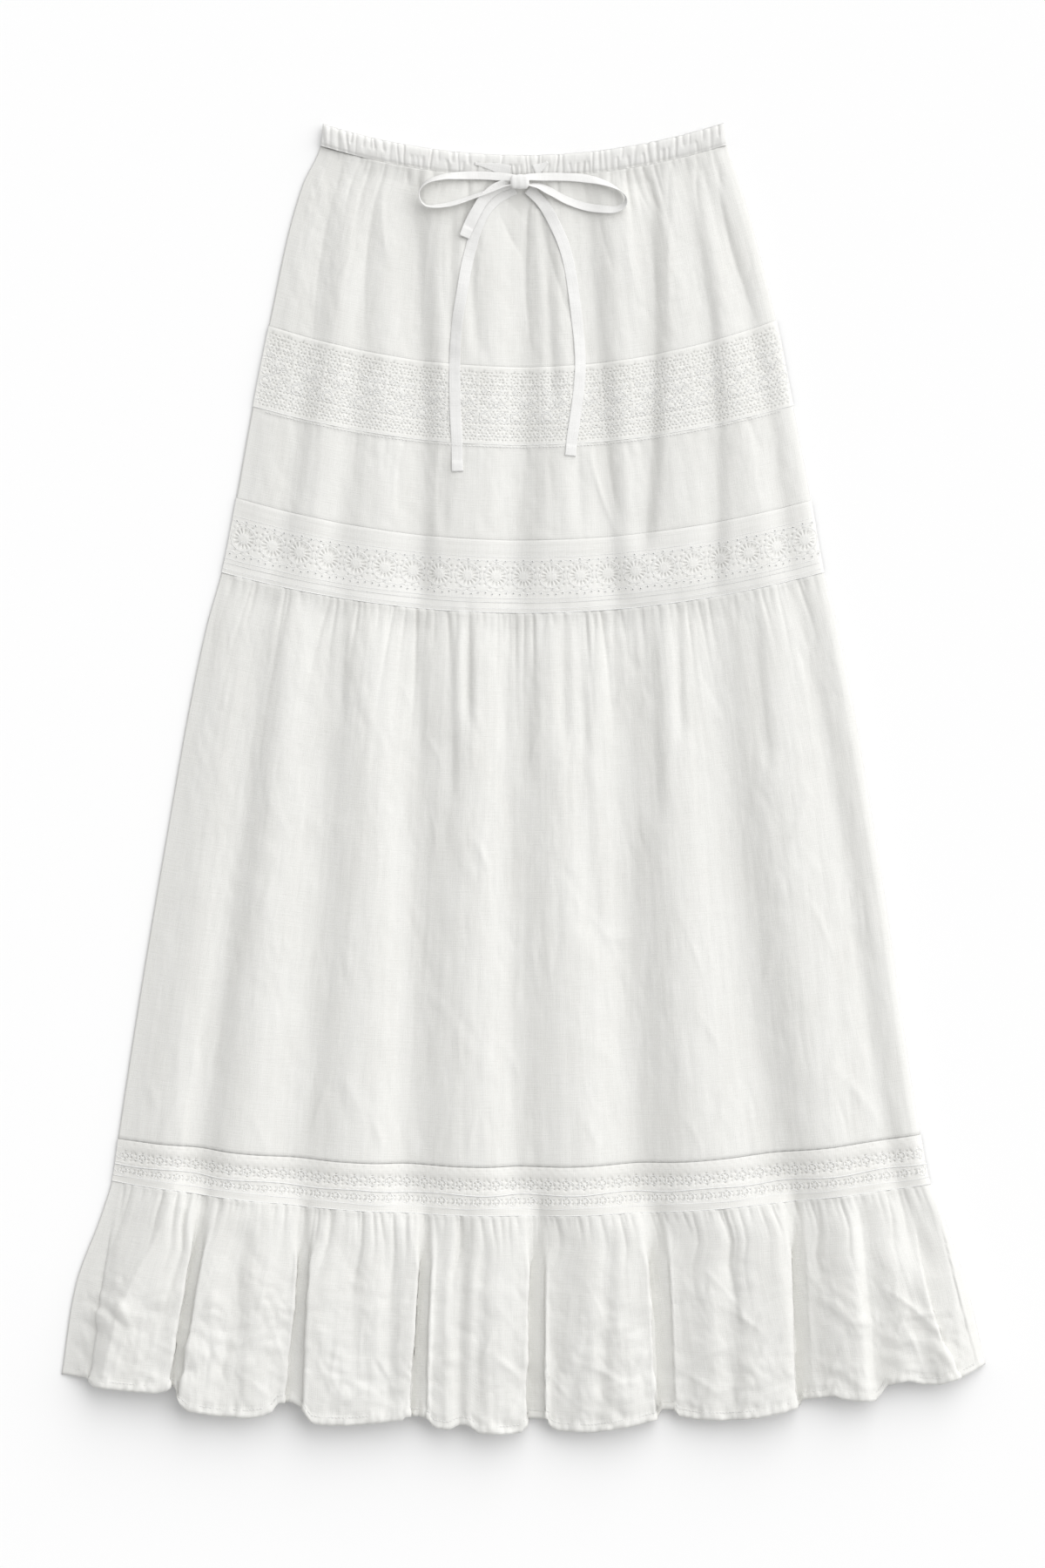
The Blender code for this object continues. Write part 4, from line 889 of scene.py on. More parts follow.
def within(points, hole, swell):
    """Which points lie in an oval that is swollen."""
    cx, cy, rx, ry, turn = hole
    c, s = math.cos(math.radians(turn)), math.sin(math.radians(turn))
    dx, dy = points[:, 0] - cx, points[:, 1] - cy
    return ((dx * c + dy * s) / (rx * swell)) ** 2 + ((-dx * s + dy * c) / (ry * swell)) ** 2 < 1.0


GAP_DEEP = 0.6          # from the lace's face to the ground in its gaps
BEVEL = 1.25            # width of the raised selvedge's slope along a band's top
SELVEDGE = 0.52         # how far it stands up
HOLE_CORNERS = 6        # of a hole or gap
COLUMNS = 20            # columns of a band's table to each repeat

# A lace band. width: of one repeat; steps: points to a repeat on its long threads; pitch: mean
# distance between the points of its ground; relief, threads: functions, given below.
Lace = namedtuple("Lace", "name top foot width repeats steps pitch holes gaps relief threads"
                          " material slot")


def lace_unit(lace, gaps):
    """One repeat of a lace: its points, its triangles outside the holes, and which of its points
    lie on the sunk ground of a gap."""
    width, holes, corners = lace.width, lace.holes, HOLE_CORNERS
    deep = DROP[lace.foot] - DROP[lace.top]
    rows = int(round(deep / lace.pitch))
    cols = int(round(width / lace.pitch))
    edge = np.insert(np.linspace(0.0, deep, rows + 1), 1, BEVEL)
    inner = []
    for k in range(1, rows + 1):
        for j in range(1, cols):
            inner.append((width * (j + (0.25 if k % 2 else -0.25)) / cols, edge[k]))
    inner = np.array(inner)
    keep = np.ones(len(inner), bool)
    for cx, cy, rx, ry, turn in [*holes, *gaps]:
        keep &= ~within(inner, (cx, cy, rx + 0.6, ry + 0.6, turn), 1.0)
    sides = [(x, y) for y in edge for x in (0.0, width)]
    ends = [(width * j / cols, y) for j in range(1, cols) for y in (0.0, deep)]
    rings = [oval(*hole, corners) for hole in [*holes, *gaps]]
    rings += [oval(*gap, corners, 0.68) for gap in gaps]
    points = np.concatenate([np.array(sides), np.array(ends), inner[keep], *rings])
    edges, start = [], len(points) - corners * len(rings)
    for k in range(len(rings)):
        first = start + k * corners
        edges += [(first + i, first + (i + 1) % corners) for i in range(corners)]
    verts, _, faces, origin, _, _ = delaunay_2d_cdt([Vector(p) for p in points], edges, [], 0, 1e-5)
    verts = np.array([list(v) for v in verts])
    faces = np.array([f for f in faces if len(f) == 3])
    middle = verts[faces].mean(axis=1)
    solid = np.ones(len(faces), bool)
    for hole in holes:
        solid &= ~within(middle, hole, 1.0)
    corner = verts[faces[:, 0]]
    area = np.cross(verts[faces[:, 1]] - corner, verts[faces[:, 2]] - corner)
    solid &= np.abs(area) > 1e-6
    faces = faces[solid]
    flip = area[solid] < 0
    faces[flip] = faces[flip][:, ::-1]
    sunk = np.zeros(len(verts), bool)
    for gap in gaps:
        sunk |= within(verts, gap, 0.85)
    return verts, faces, sunk


def band_table(form, lace):
    """Columns at even steps along the middle of a band."""
    middle = 0.5 * (DROP[lace.top] + DROP[lace.foot])
    return even_columns(form, [middle], COLUMNS * lace.repeats + 1)[0]


def band_place(table, lace, x, v):
    """Columns and drops in a band: x from 0 to its number of repeats, v down from its top."""
    return np.interp(x * float(COLUMNS), np.arange(len(table)), table), DROP[lace.top] + v


def lace_band(lace, form, up):
    """The pierced cloth of a lace band, with its raised forms."""
    # below, where the band lies on the surface, its gaps are left to the threads
    verts, faces, sunk = lace_unit(lace, lace.gaps if up else [])
    repeats = range(lace.repeats)
    x = np.concatenate([verts[:, 0] / lace.width + k for k in repeats])
    v = np.tile(verts[:, 1], lace.repeats)
    across, drop = band_place(band_table(form, lace), lace, x, v)
    points = form(across, drop)
    if up:
        raised = np.clip(verts[:, 1] / BEVEL, 0.0, 1.0)
        raised = raised * (1.0 - smooth_step((verts[:, 1] - BEVEL) / 11.0))
        relief = lace.relief(verts[:, 0], verts[:, 1]) + SELVEDGE * raised - GAP_DEEP * sunk
        relief = np.tile(relief, lace.repeats) * off_side(across, 200.0, 6.0)
        points = points + surface_normals(form, across, drop) * (relief + CLOTH / 2)[:, None]
    # v runs down the band, which turns the faces over
    order = faces[:, ::-1] if up else faces
    all_faces = np.concatenate([order + k * len(verts) for k in repeats])
    keys = np.round(np.stack([x * 1000, v * 1000], axis=-1)).astype(np.int64)
    _, first, same = np.unique(keys, axis=0, return_index=True, return_inverse=True)
    all_faces = same.ravel()[all_faces]
    uv = np.stack([x / lace.repeats * CLOTH_SIZE[lace.name][0] / MM, v], axis=-1)
    return new_object(lace.name + ("_band" if up else "_band_under"), points[first],
                      all_faces.tolist(), uv[first], lace.material)


def swept(lines, place, form, up):
    """Threads on a surface. lines: (x, v, radius, height of its middle above the cloth)."""
    counts = [len(line[0]) for line in lines]
    x, v, radius, lift = [
        np.concatenate([np.broadcast_to(np.asarray(line[k], float), count)
                        for line, count in zip(lines, counts)]) for k in range(4)]
    owner = np.repeat(np.arange(len(lines)), counts)
    points, normal = [], []
    for part in np.array_split(np.arange(len(x)), max(1, len(x) // 20000)):
        across, drop = place(x[part], v[part])
        points.append(form(across, drop))
        normal.append(surface_normals(form, across, drop) * (1.0 if up else -1.0))
    points, normal = np.concatenate(points), np.concatenate(normal)
    points = points + normal * (lift + (CLOTH / 2 if up else 0.0))[:, None]
    numbers = np.arange(len(x))
    after = np.append(owner[1:] == owner[:-1], False)
    before = np.append(False, owner[1:] == owner[:-1])
    tangent = points[numbers + after] - points[numbers - before]
    tangent /= np.maximum(np.linalg.norm(tangent, axis=1, keepdims=True), 1e-9)
    side = np.cross(tangent, normal)
    radius = radius[:, None]
    ring = [points + side * radius, points + normal * radius * 0.8,
            points - side * radius, points - normal * radius * 0.5]
    verts = np.stack(ring, axis=1).reshape(-1, 3)
    steps = np.linalg.norm(points - points[numbers - before], axis=1)
    walked = np.cumsum(np.where(before, steps, 0.0))
    uvs = np.repeat(np.stack([walked, walked * 0.0], axis=-1), 4, axis=0)
    first = numbers[after] * 4
    faces = []
    for k in range(4):
        m = (k + 1) % 4
        faces.append(np.stack([first + k, first + m, first + 4 + m, first + 4 + k], axis=1))
    return verts, np.concatenate(faces).tolist(), uvs


def lace_threads(lace, form, up):
    """The raised threads of a lace band: its long lines, and those of each repeat."""
    long_lines, repeat_lines = lace.threads(lace.width, DROP[lace.foot] - DROP[lace.top])
    steps = lace.steps if up else lace.steps // 2
    t = np.linspace(0.02, lace.repeats - 0.02, lace.repeats * steps + 1)
    lines = []
    for level, sway, waves, start, radius in long_lines:
        lift = radius * (0.3 if radius > 0.4 else 0.0)
        lines.append((t, level + sway * np.sin(2 * np.pi * waves * t + start), radius, lift))
    lines += [(x / lace.width + k, v, radius, 0.0)
              for x, v, radius in repeat_lines for k in range(lace.repeats)]
    table = band_table(form, lace)
    verts, faces, uvs = swept(lines, lambda x, v: band_place(table, lace, x, v), form, up)
    name = lace.name + ("_threads" if up else "_threads_under")
    return new_object(name, verts, faces, uvs, THREAD)


def ring_line(cx, cy, radius, count=10, waves=0, sway=0.0):
    """A closed line round a point, plain or scalloped by waves."""
    t = np.linspace(0.0, 2 * np.pi, count + 1)
    r = radius + sway * np.abs(np.cos(t * waves / 2)) if waves else radius
    return cx + r * np.cos(t), cy + r * np.sin(t)


def rosette(cx, cy, radius, count, rx, ry, turn=0.0):
    """Oval holes round a point, which all point at it."""
    made = []
    for k in range(count):
        a = 360.0 * k / count + turn
        made.append((cx + radius * math.cos(math.radians(a)),
                     cy + radius * math.sin(math.radians(a)), rx, ry, a))
    return made


FLORAL_W, EYELET_W, TUCKED_W = 24.0, 20.3, 13.4      # width of one repeat


def scroll_gaps(seed, width, low, high, step, discs):
    """Small gaps between embroidered scrolls, which turn round the flowers."""
    rng = np.random.default_rng(seed)
    cols, rows = int(width / step), int(round((high - low) / step / 0.86))
    made = []
    for k in range(rows):
        for j in range(cols):
            x = (j + 0.25 + 0.5 * (k % 2)) * width / cols + rng.uniform(-0.5, 0.5)
            v = low + (k + 0.5) * (high - low) / rows + rng.uniform(-0.4, 0.4)
            x = min(max(x, 1.3), width - 1.3)
            away = [math.hypot(x - cx, v - cv) - radius for cx, cv, radius in discs]
            if min(away) < 0.0:
                continue
            cx, cv, _ = discs[int(np.argmin(away))]
            swirl = math.degrees(math.atan2(v - cv, x - cx)) + 90.0
            turn = swirl if rng.uniform() < 0.4 else rng.normal(-6.0, 30.0)
            made.append((x, v, rng.uniform(0.5, 1.0), rng.uniform(0.28, 0.4), turn))
    return made


# The middles of the upper band's flowers, with their radius.
FLORAL_DISCS = [(12.0, 25.0, 1.8), (5.2, 38.0, 1.4), (18.8, 38.0, 1.4), (5.2, 18.5, 1.2),
                (18.8, 18.5, 1.2)]
FLORAL_GAPS = (
    scroll_gaps(5, FLORAL_W, 4.0, 11.0, 3.0, FLORAL_DISCS)
    + scroll_gaps(6, FLORAL_W, 11.0, 56.0, 2.7, FLORAL_DISCS)
)
# Holes and gaps: middle, half length, half width and direction in degrees.
EYELET_HOLES = [
    (3.4, 16.0, 0.34, 0.34, 0), (10.15, 15.2, 0.34, 0.34, 0), (16.9, 16.0, 0.34, 0.34, 0),
    (2.6, 39.6, 0.34, 0.34, 0), (7.4, 40.6, 0.34, 0.34, 0), (12.9, 40.6, 0.34, 0.34, 0),
    (17.7, 39.6, 0.34, 0.34, 0),
]
EYELET_GAPS = (
    rosette(10.15, 27.0, 5.6, 14, 2.1, 0.62, 90.0)
    + [(2.0, 20.8, 0.8, 0.55, 30), (18.3, 20.8, 0.8, 0.55, -30), (1.5, 24.4, 0.6, 0.5, 0),
       (18.8, 24.4, 0.6, 0.5, 0), (1.5, 29.6, 0.6, 0.5, 0), (18.8, 29.6, 0.6, 0.5, 0),
       (2.0, 33.2, 0.8, 0.55, -30), (18.3, 33.2, 0.8, 0.55, 30), (5.2, 18.3, 0.8, 0.45, 20),
       (15.1, 18.3, 0.8, 0.45, -20), (5.2, 36.2, 0.8, 0.45, -20), (15.1, 36.2, 0.8, 0.45, 20),
       (10.15, 37.6, 0.9, 0.4, 0), (10.15, 17.9, 0.8, 0.4, 0)]
)
TUCKED_GAPS = (
    rosette(6.7, 12.8, 2.2, 6, 0.85, 0.45, 90.0) + rosette(6.7, 25.6, 2.0, 6, 0.75, 0.42, -90.0)
    + [(1.7, 10.6, 0.9, 0.45, 25), (1.9, 13.4, 0.8, 0.4, -15), (1.7, 16.0, 0.8, 0.4, 20),
       (11.7, 10.2, 0.9, 0.45, -25), (11.6, 13.6, 0.8, 0.4, 15), (11.6, 16.2, 0.8, 0.4, -20),
       (1.7, 24.2, 0.8, 0.4, -25), (1.8, 27.0, 0.8, 0.4, 20), (11.6, 24.0, 0.8, 0.4, 25),
       (11.6, 27.0, 0.8, 0.4, -20), (6.7, 8.8, 0.9, 0.4, 0), (6.7, 17.2, 0.9, 0.4, 0)]
)


def floral_relief(x, v):
    """Relief of the upper band: a flower in each repeat, scrolls and a fine net."""
    petals = 0.2 * np.exp(-(((np.hypot(x - 12.0, v - 25.0) - 2.2) / 1.2) ** 2))
    scroll = 0.16 * np.cos(x * 2 * np.pi / 12.0)
    scroll = scroll * np.cos(v * 0.55 + 1.5 * np.sin(x * 2 * np.pi / 24.0))
    scroll = scroll * smooth_step((v - 6) / 6) * smooth_step((52 - v) / 4)
    net = 0.08 * np.cos(x * 2 * np.pi / 3.0) * np.cos(v * 2 * np.pi / 4.0)
    return petals + scroll + net


def eyelet_relief(x, v):
    """Relief of the middle band: a disc with spokes in each repeat, and ribs along both edges."""
    away = np.hypot(x - 10.15, v - 27.0)
    turn = np.arctan2(v - 27.0, x - 10.15) - np.pi / 2
    disc = 0.1 * np.exp(-((away / 2.6) ** 4))
    spokes = 0.14 * np.exp(-(((away - 6.4) / 2.2) ** 2)) * -np.cos(14 * turn)
    at_edges = smooth_step((13 - v) / 2) + smooth_step((v - 43) / 1.5)
    ribs = 0.14 * np.cos(v * 2 * np.pi / 2.4) * at_edges
    return disc + spokes + ribs


def tucked_relief(x, v):
    """Relief of the lower band: three tucks, given by place, width and height, and leaves."""
    tucks = [np.exp(-(((v - place) / wide) ** 2)) * height
             for place, wide, height in ((19.4, 1.2, 0.55), (5.6, 1.0, 0.40), (30.6, 1.0, 0.35))]
    leaves = 0.25 * np.cos(x * 2 * np.pi / 6.7) * np.cos(v * 2 * np.pi / 6.3)
    return sum(tucks) + leaves * smooth_step((30 - v) / 2)


# Each function below gives a band's long lines, as level below its top, sway, waves to a repeat,
# start and radius, and the lines of one repeat, as places across, places down and radius.
def floral_threads(_, deep):
    """Threads of the upper band: swaying lines, a ring of six petals and two rosettes."""
    long_lines = [
        (deep - 0.5, 0.0, 0, 0.0, 0.34), (31.0, 2.6, 1, 0.0, 0.32), (25.0, -2.6, 1, 0.5, 0.3),
        (8.5, 1.2, 2, 2.2, 0.26), (36.0, 1.2, 3, 0.7, 0.28), (14.0, 1.2, 3, 0.0, 0.26),
        (19.5, 1.6, 2, 1.0, 0.3), (40.5, 1.5, 2, 2.0, 0.32), (46.0, 1.0, 3, 0.0, 0.28),
        (51.5, 0.8, 3, 1.2, 0.26),
    ]
    made = []
    for k in range(6):
        a = math.radians(60 * k)
        made.append((*ring_line(12.0 + 4.1 * math.cos(a), 25.0 + 4.1 * math.sin(a), 1.7, 8), 0.3))
    for cx in (5.2, 18.8):
        made.append((*ring_line(cx, 38.0, 3.5, 14, 5, 0.7), 0.33))
        made.append((*ring_line(cx, 19.0, 2.0, 8), 0.3))
    made.append((*ring_line(12.0, 25.0, 1.2, 8), 0.45))
    return long_lines, made


def eyelet_threads(width, deep):
    """Threads of the middle band: straight cords, scalloped rounds and rings at the eyelets."""
    levels = [(12.8, 0.22), (43.4, 0.26), (46.4, 0.24), (deep - 3.4, 0.38), (deep - 0.5, 0.45)]
    made = [(*ring_line(10.15, 27.0, 2.4, 12), 0.2),
            (*ring_line(10.15, 27.0, 8.4, 39, 13, 0.7), 0.26)]
    waves = np.linspace(0.0, width, 15)
    for side in (-1, 1):
        v = 27.0 + side * (11.0 + 0.7 * np.cos(waves * 6 * np.pi / width))
        made.append((waves, v, 0.24))
    for cx, cy, rx, _, _ in EYELET_HOLES:
        made.append((*ring_line(cx, cy, rx + 0.5, 8), 0.26))
    return [(level, 0.0, 0, 0.0, radius) for level, radius in levels], made


def tucked_threads(width, deep):
    """Threads of the lower band: cords along its tucks and two rows of small flowers."""
    long_lines = [
        (5.6, 0.5, 0.2, 1.0, 0.36), (18.4, 0.6, 0.2, 0.0, 0.4), (20.6, 0.6, 0.2, 0.4, 0.6),
        (30.6, 0.4, 0.2, 2.0, 0.45), (deep - 0.5, 0.0, 0, 0.0, 0.42),
    ]
    made = []
    for cy in (12.8, 25.6):
        made.append((*ring_line(6.7, cy, 2.9, 15, 5, 0.7), 0.34))
        made.append((*ring_line(6.7, cy, 0.8, 6), 0.34))
        wave = cy + 2.6 * np.sin(np.linspace(0, 2 * np.pi, 9))
        made.append((np.linspace(0.0, width, 9), wave, 0.3))
    return long_lines, made


LACES = [
    Lace("lace_upper", "upper lace top", "upper lace foot", FLORAL_W, 17, 14, 2.0, [], FLORAL_GAPS,
         floral_relief, floral_threads, LACE_FLORAL, "floral_lace"),
    Lace("lace_middle", "middle lace top", "middle lace foot", EYELET_W, 21, 7, 1.9, EYELET_HOLES,
         EYELET_GAPS, eyelet_relief, eyelet_threads, LACE_EYELET, "eyelet_lace"),
    Lace("lace_lower", "lower lace top", "lower lace foot", TUCKED_W, 46, 6, 1.9, [], TUCKED_GAPS,
         tucked_relief, tucked_threads, LACE_TUCKED, "tucked_lace"),
]
for lace in LACES:
    under = lace_band(lace, back_form, False)
    under_threads = lace_threads(lace, back_form, False)
    shown = lace_band(lace, front_form, True)
    threads = lace_threads(lace, front_form, True)
    settle(under, lace.name + "_back")
    settle(shown, lace.name + "_front")
    settle(under_threads, None)
    settle(threads, None)

casing = casing_half(1, 1001, 25, 61, CASING)
casing_under = casing_half(-1, 601, 13, 67, CASING)
settle(casing_under, "waistband_back")
settle(casing, "waistband_front")

# ---------------------------------------------------------------- drawstring
KNOT_PLACE = (-2.3, 442.4, 12.0)
KNOT_SIZE = (14.0, 11.6, 7.0)
LOOP_WIDE = 0.76        # share of the tape's width that the drawn-in loops have
RUN_WIDE = (0.25, 0.65)     # the same where a run comes out of the casing, and how much it gains
FREE_ENDS = ("tie_end_short", "tie_tail_left", "tie_tail_right")
# A tape's cross-section, as shares of half its width and of half its thickness.
TAPE_SHAPE = [(-1.0, 0.0), (-0.97, 0.75), (-0.88, 1.0), (-0.6, 0.82), (0.0, 0.9), (0.6, 0.82),
              (0.88, 1.0), (0.97, 0.75), (1.0, 0.0), (0.97, -0.75), (0.88, -1.0), (0.3, -0.85),
              (-0.3, -0.85), (-0.88, -1.0), (-0.97, -0.75)]
# Stations of each tape: x, y, lean in degrees from flat, raise above the cloth.
TAPES = {
    "tie_run_left": [
        (-35.9, 456.3, 0, 0), (-26.2, 454.3, 0, 0), (-15.8, 452.1, 0, 0), (-9.5, 450.6, 0, 0),
    ],
    "tie_run_right": [
        (18.4, 457.4, 0, 0), (15.4, 454.9, 0, 0), (11.3, 452.5, 0, 0), (8.2, 451.2, 0, 0),
    ],
    "tie_loop_left": [
        (-6.5, 445.2, -40, 1.0), (-9.6, 445.7, -34, 0.9), (-18.4, 446.5, -20, 0.4),
        (-31.3, 447.2, -16, 0.1), (-45.6, 447.2, -24, 0.1), (-58.5, 446.2, -44, 0),
        (-70.1, 442.7, -66, 0), (-76.3, 436.9, -82, 0), (-76.6, 430.4, -92, 0),
        (-72.1, 424.9, -104, 0), (-63.0, 424.3, -116, 0), (-52.0, 426.2, -122, 0),
        (-39.1, 430.4, -122, 0), (-24.9, 435.6, -118, 0.3), (-15.8, 438.9, -112, 0.8),
        (-9.6, 440.3, -104, 1.0), (-6.5, 441.0, -100, 1.0),
    ],
    "tie_loop_right": [
        (2.0, 445.6, 54, 0.7), (5.0, 446.0, 44, 0.6), (13.9, 446.2, 26, 0.1), (28.8, 446.2, 18, 0),
        (43.6, 445.3, 22, 0), (57.8, 442.4, 44, 0), (69.5, 437.5, 76, 0), (75.9, 431.7, 94, 0),
        (75.6, 425.9, 118, 0), (68.8, 422.0, 142, 0), (57.8, 422.3, 156, 0), (44.9, 424.6, 160, 0),
        (32.0, 429.1, 158, 0), (20.4, 435.3, 148, 0.3), (12.0, 439.2, 128, 0.8),
        (5.0, 440.4, 112, 1.0), (2.0, 440.9, 106, 1.0),
    ],
    "tie_end_short": [
        (-3.6, 442.0, 6, 1.2), (-9.6, 441.2, 10, 1.9), (-19.0, 438.0, 13, 1.9),
        (-28.1, 430.6, 14, 1.6), (-35.2, 419.4, 14, 1.3), (-40.8, 408.0, 12, 1.1),
        (-43.6, 401.4, 10, 1.0),
    ],
    "tie_tail_left": [
        (-5.6, 437.6, 0, 0), (-12.4, 434.4, 0, 0), (-21.4, 428.4, 0, 0), (-29.4, 418.6, 0, 0),
        (-34.8, 406.8, 0, 0), (-38.4, 394.6, 0, 0), (-42.2, 378.4, 0, 0), (-45.2, 360.6, 0, 0),
        (-48.8, 338.0, 0, 0), (-50.4, 315.4, 0, 0), (-50.7, 292.8, 0, 0), (-50.1, 270.1, 0, 0),
        (-49.1, 250.7, 0, 0), (-48.8, 234.6, 0, 0), (-48.5, 227.5, 0, 0),
    ],
    "tie_tail_right": [
        (4.0, 437.6, 14, 0.4), (8.4, 433.6, 14, 0.2), (14.2, 427.4, 12, 0),
        (19.4, 419.4, 8, 0), (25.4, 407.4, 4, 0), (30.4, 395.4, 2, 0),
        (34.8, 378.7, 0, 0), (37.6, 360.6, 0, 0), (40.0, 341.2, 0, 0), (42.0, 321.8, 0, 0),
        (42.6, 305.7, 0, 0), (41.5, 288.2, 0, 0), (39.2, 270.1, 0, 0), (36.8, 254.0, 0, 0),
        (35.2, 239.1, 0, 0),
    ],
}


def cloth_tree(names):
    """One search tree over the faces of several pieces."""
    verts, faces = [], []
    for name in names:
        data = bpy.data.objects[name].data
        start = len(verts)
        verts += [v.co.copy() for v in data.vertices]
        faces += [[start + i for i in p.vertices] for p in data.polygons]
    return BVHTree.FromPolygons(verts, faces)


TREE = cloth_tree(["waist_casing", "upper_tier_cloth", "lace_upper_band", "middle_tier_cloth"])


def cloth_top(x, y):
    """Height of the cloth's upper side at a place, in millimetres."""
    hit = TREE.ray_cast(Vector((x * MM, y * MM, 0.1)), Vector((0, 0, -1)))[0]
    return hit.z / MM if hit else 6.0


def smooth_route(stations, step):
    """Points about a step apart on a Catmull-Rom curve through the stations' columns."""
    table = np.array(stations, dtype=float)
    table = np.vstack([2 * table[0] - table[1], table, 2 * table[-1] - table[-2]])
    points = []
    for k in range(1, len(table) - 2):
        a, b, c, d = table[k - 1 : k + 3]
        count = max(1, round(float(np.linalg.norm((c - b)[:2])) / step))
        for t in np.arange(count) / count:
            points.append(0.5 * (2 * b + (c - a) * t + (2 * a - 5 * b + 4 * c - d) * t**2
                                 + (3 * b - a - 3 * c + d) * t**3))
    points.append(table[-2])
    return np.array(points)


def softened(values):
    """Values along a route, evened out over about 15 mm."""
    kernel = np.hanning(15) / np.hanning(15).sum()
    return np.convolve(np.pad(values, 7, mode="edge"), kernel, mode="valid")


def tape_piece(name, stations, seed):
    """A flat cotton tape along its stations, with a folded and stitched end where it has one.
    Returns the piece and the line of its middle, in metres."""
    route = smooth_route(stations, 1.1)
    count = len(route)
    lean = np.radians(route[:, 2])
    flat = np.abs(np.cos(lean))
    heading = np.gradient(route[:, :2], axis=0)
    heading /= np.linalg.norm(heading, axis=1, keepdims=True)
    beside = np.column_stack([heading[:, 1], -heading[:, 0]])
    spots = np.linspace(-3.6, 3.6, 5)
    under = np.array([[cloth_top(x + bx * spot, y + by * spot) for spot in spots]
                      for (x, y), (bx, by) in zip(route[:, :2], beside)])
    slant = softened(np.polyfit(spots, under.T, 1)[0] * flat**2)
    top = (under - slant[:, None] * spots).max(axis=1)
    top = np.maximum(softened(top), top - 0.3)
    steps = np.linalg.norm(np.diff(route[:, :2], axis=0), axis=1)
    walked = np.concatenate([[0.0], np.cumsum(steps)])
    thick = np.full(count, TAPE_THICK * TAPE_SKIN)
    if name in FREE_ENDS:
        left = walked[-1] - walked
        thick = thick + 0.55 * smooth_step((8.2 - left) / 0.8)
        thick = thick - 0.25 * np.exp(-(((left - 7.6) / 0.5) ** 2))
    rise = np.abs(np.sin(lean)) * TAPE_WIDE / 2 + flat * thick / 2
    wave = 0.35 * value_noise(walked / 14.0, walked * 0.0 + seed, seed)
    height = top + route[:, 3] + rise + np.maximum(wave, 0)
    centre = np.column_stack([route[:, 0], route[:, 1], height])
    tangent = np.gradient(centre, axis=0)
    tangent /= np.linalg.norm(tangent, axis=1, keepdims=True)
    level = np.cross([0.0, 0.0, 1.0], tangent)
    level /= np.linalg.norm(level, axis=1, keepdims=True)
    upright = np.cross(tangent, level)
    lean = lean + np.arctan(slant)
    lean = lean + 0.07 * value_noise(walked / 18.0, walked * 0.0 + seed + 0.5, seed + 1)
    wide = upright * np.sin(lean)[:, None] - level * np.cos(lean)[:, None]
    normal = np.cross(tangent, wide)
    half = TAPE_WIDE / 2 * (1.0 + 0.03 * value_noise(walked / 11.0, walked * 0.0, seed + 2))
    if "loop" in name:
        half = half * LOOP_WIDE
    if "run" in name:
        half = half * (RUN_WIDE[0] + RUN_WIDE[1] * smooth_step(walked / walked[-1] * 1.2))
    creases = 0.16 * value_noise(walked / 5.0, walked * 0.0, seed + 3)
    a, b = np.transpose(TAPE_SHAPE)
    bulge = thick[:, None] / 2 * b + creases[:, None] * (1.0 - a * a)
    verts = (centre[:, None] + wide[:, None] * half[:, None, None] * a[:, None]
             + normal[:, None] * bulge[..., None])
    # the upper and the lower side lie beside each other on the cloth's coordinates
    uv = np.stack(np.broadcast_arrays(walked[:, None], 4.3 * a + 20.0 * (b < 0)), axis=-1)
    numbers = np.arange(count * len(a)).reshape(count, len(a))
    faces = grid_faces(np.column_stack([numbers, numbers[:, :1]]), True)
    faces += [numbers[0, ::-1].tolist(), numbers[-1].tolist()]
    item = new_object(name.replace("tie_", "tape_"), verts.reshape(-1, 3), faces,
                      uv.reshape(-1, 2), TAPE)
    settle(item, name)
    return item, centre * MM


def knot_piece():
    """The knot: a tape wrapped once round the loops, drawn in, with creases along it."""
    rows, cols = 33, 49
    verts, uvs = [], []
    for i in range(rows):
        a = math.pi * i / (rows - 1)
        for j in range(cols):
            b = 2 * math.pi * j / (cols - 1)
            nx = math.cos(a)
            ny, nz = math.sin(a) * math.cos(b), math.sin(a) * math.sin(b)
            size = (abs(nx) ** 3.4 + abs(ny) ** 2.6 + abs(nz) ** 2.6) ** (-1 / 2.8)
            crease = 0.055 * math.cos(nx * 8.5 + 0.5 * math.sin(2 * b)) * math.sin(a)
            waist = 1.0 - 0.10 * math.exp(-((nx + 0.1) / 0.35) ** 2)
            grow = size * (1.0 + crease) * waist
            verts.append((KNOT_PLACE[0] + KNOT_SIZE[0] / 2 * nx * size,
                          KNOT_PLACE[1] + KNOT_SIZE[1] / 2 * ny * grow,
                          KNOT_PLACE[2] + KNOT_SIZE[2] / 2 * nz * grow))
            uvs.append((b * 5.0, nx * 5.0))
    numbers = np.arange(rows * cols).reshape(rows, cols)
    item = new_object("tape_knot", verts, grid_faces(numbers, True), uvs, TAPE)
    settle(item, "tie_knot")


knot_piece()
tapes = {name: tape_piece(name, stations, 71 + 5 * number)
         for number, (name, stations) in enumerate(TAPES.items())}


# ---------------------------------------------------------------- stitching
def stitch_line(form, drop, pitch, long, cut, lift):
    """Single stitches along a level of the cloth, as short arched threads. pitch: from stitch to
    stitch; long: length of one; cut: length of the line along the cloth."""
    table = even_columns(form, [drop], 601)[0]
    count = int(cut / pitch)
    made = []
    for k in range(4, count - 4):
        first, last = k / count, (k + long / pitch) / count
        t = np.linspace(first, last, 4)
        made.append((np.interp(t * 600.0, np.arange(601), table), np.full(4, drop),
                     0.27, lift + np.array([-0.25, 0.16, 0.16, -0.25])))
    return made


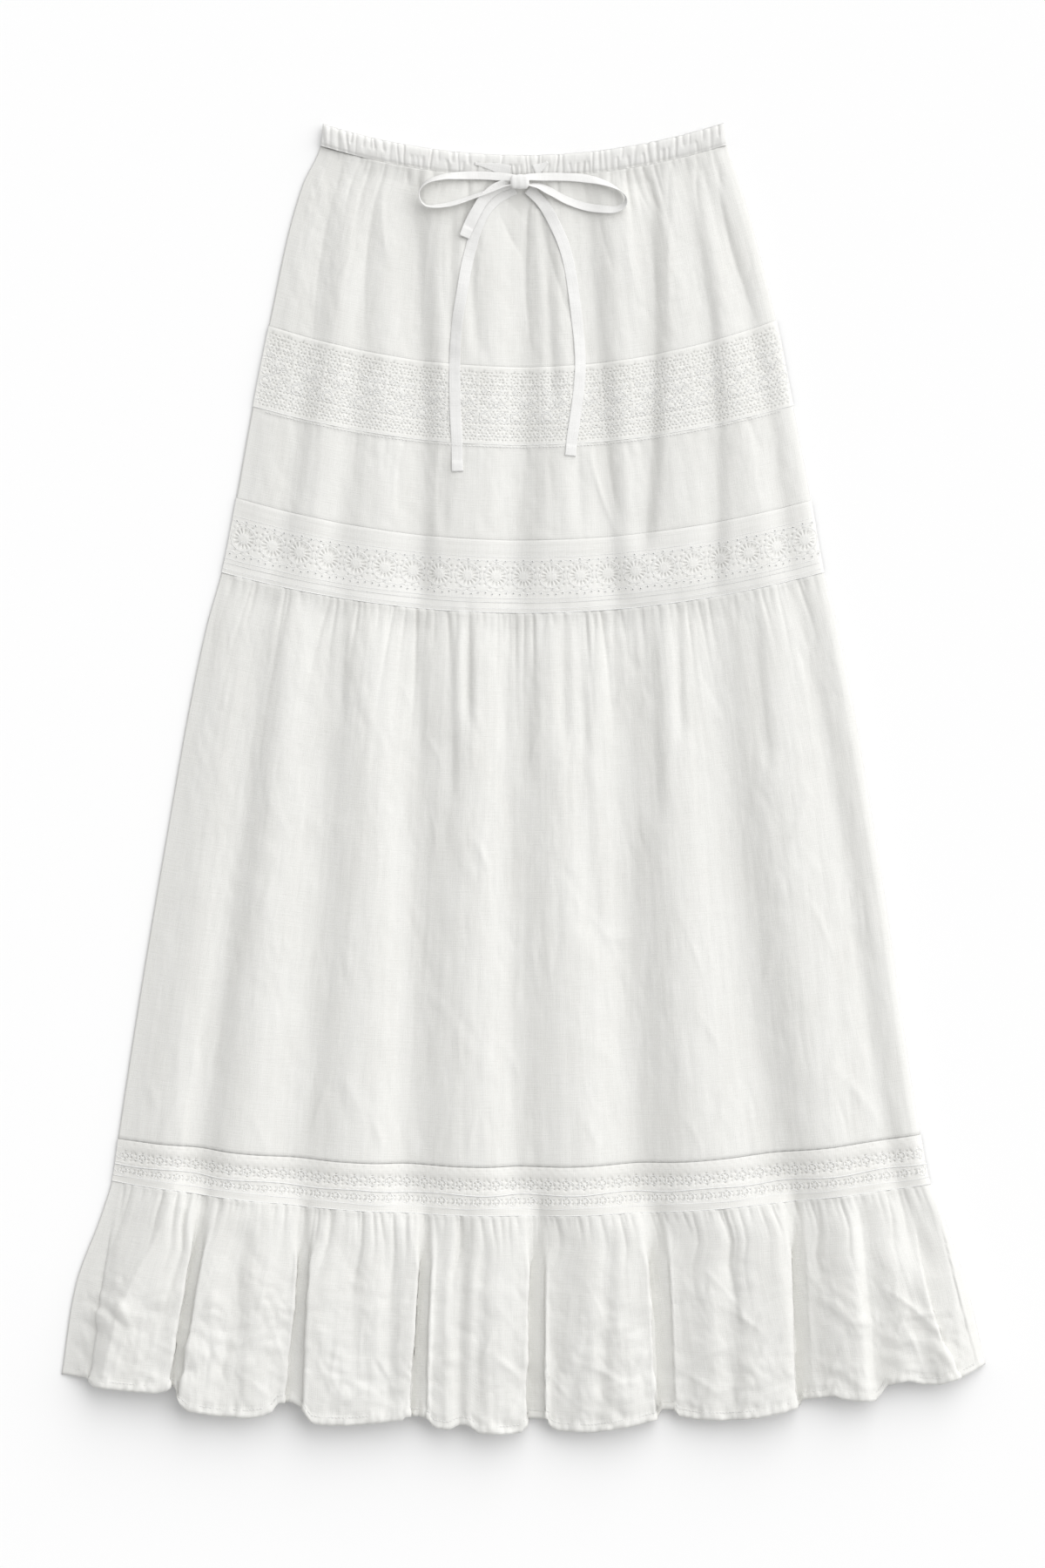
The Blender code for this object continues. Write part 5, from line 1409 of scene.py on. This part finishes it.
def stitching(name, form, up):
    """All the stitched lines of one side in one piece."""
    rows = [
        (DROP["upper lace foot"] + 1.4, 2.6, 1.8, 420, 0.45),
        (DROP["hem"] - HEM_STITCH, 3.0, 2.1, 950, 0.3),
    ]
    made = []
    for drop, pitch, long, cut, lift in rows:
        made += stitch_line(form, drop, pitch, long, cut, lift if up else 0.0)
    item = new_object(name, *swept(made, lambda x, v: (x, v), form, up), THREAD)
    settle(item, None)


stitching("stitching", front_form, True)
stitching("stitching_under", back_form, False)

# ---------------------------------------------------------------- camera, light and floor
KEY_FROM = (1.05, 1.05, 1.05)   # direction that the light comes from
KEY_POWER, KEY_ANGLE = 2.62, 84.0
AMBIENT = 0.60          # strength of the light all round
VIEW_HEIGHT = 1.1633    # metres of the ground that the picture's long side takes in
CAMERA_Z = 7.0
CLOTH_Z = 0.012         # mean height of the cloth, where that scale holds
FLOOR_HALF, FLOOR_Z = 6.0, -0.0004      # half width of the floor, and its height

camera_data = bpy.data.cameras.new("camera")
camera_data.sensor_width = 36.0
camera_data.lens = camera_data.sensor_width * (CAMERA_Z - CLOTH_Z) / VIEW_HEIGHT
camera_data.clip_start, camera_data.clip_end = 0.1, 50.0
camera = linked("camera", camera_data)
camera.location = (-0.0003, -0.0045, CAMERA_Z)
bpy.context.scene.camera = camera

floor_data = bpy.data.meshes.new("floor")
floor_corners = [(-1, -1), (1, -1), (1, 1), (-1, 1)]
floor_data.from_pydata([(FLOOR_HALF * x, FLOOR_HALF * y, FLOOR_Z) for x, y in floor_corners], [],
                       [(0, 1, 2, 3)])
floor_data.materials.append(plain("pale_floor", (0.915, 0.915, 0.915), 0.9, 0.0)[0])
linked("floor", floor_data)

# A wide soft light from the upper right, and an even pale light all round.
lamp = bpy.data.lights.new("key", "SUN")
lamp.energy = KEY_POWER
lamp.angle = math.radians(KEY_ANGLE)
key = linked("key", lamp)
key.rotation_euler = Vector(KEY_FROM).to_track_quat("Z", "Y").to_euler()
world = bpy.data.worlds.new("studio")
world.use_nodes = True
world.node_tree.nodes["Background"].inputs["Color"].default_value = (1.0, 1.0, 1.0, 1.0)
world.node_tree.nodes["Background"].inputs["Strength"].default_value = AMBIENT
bpy.context.scene.world = world
bpy.context.scene.view_settings.view_transform = "Standard"
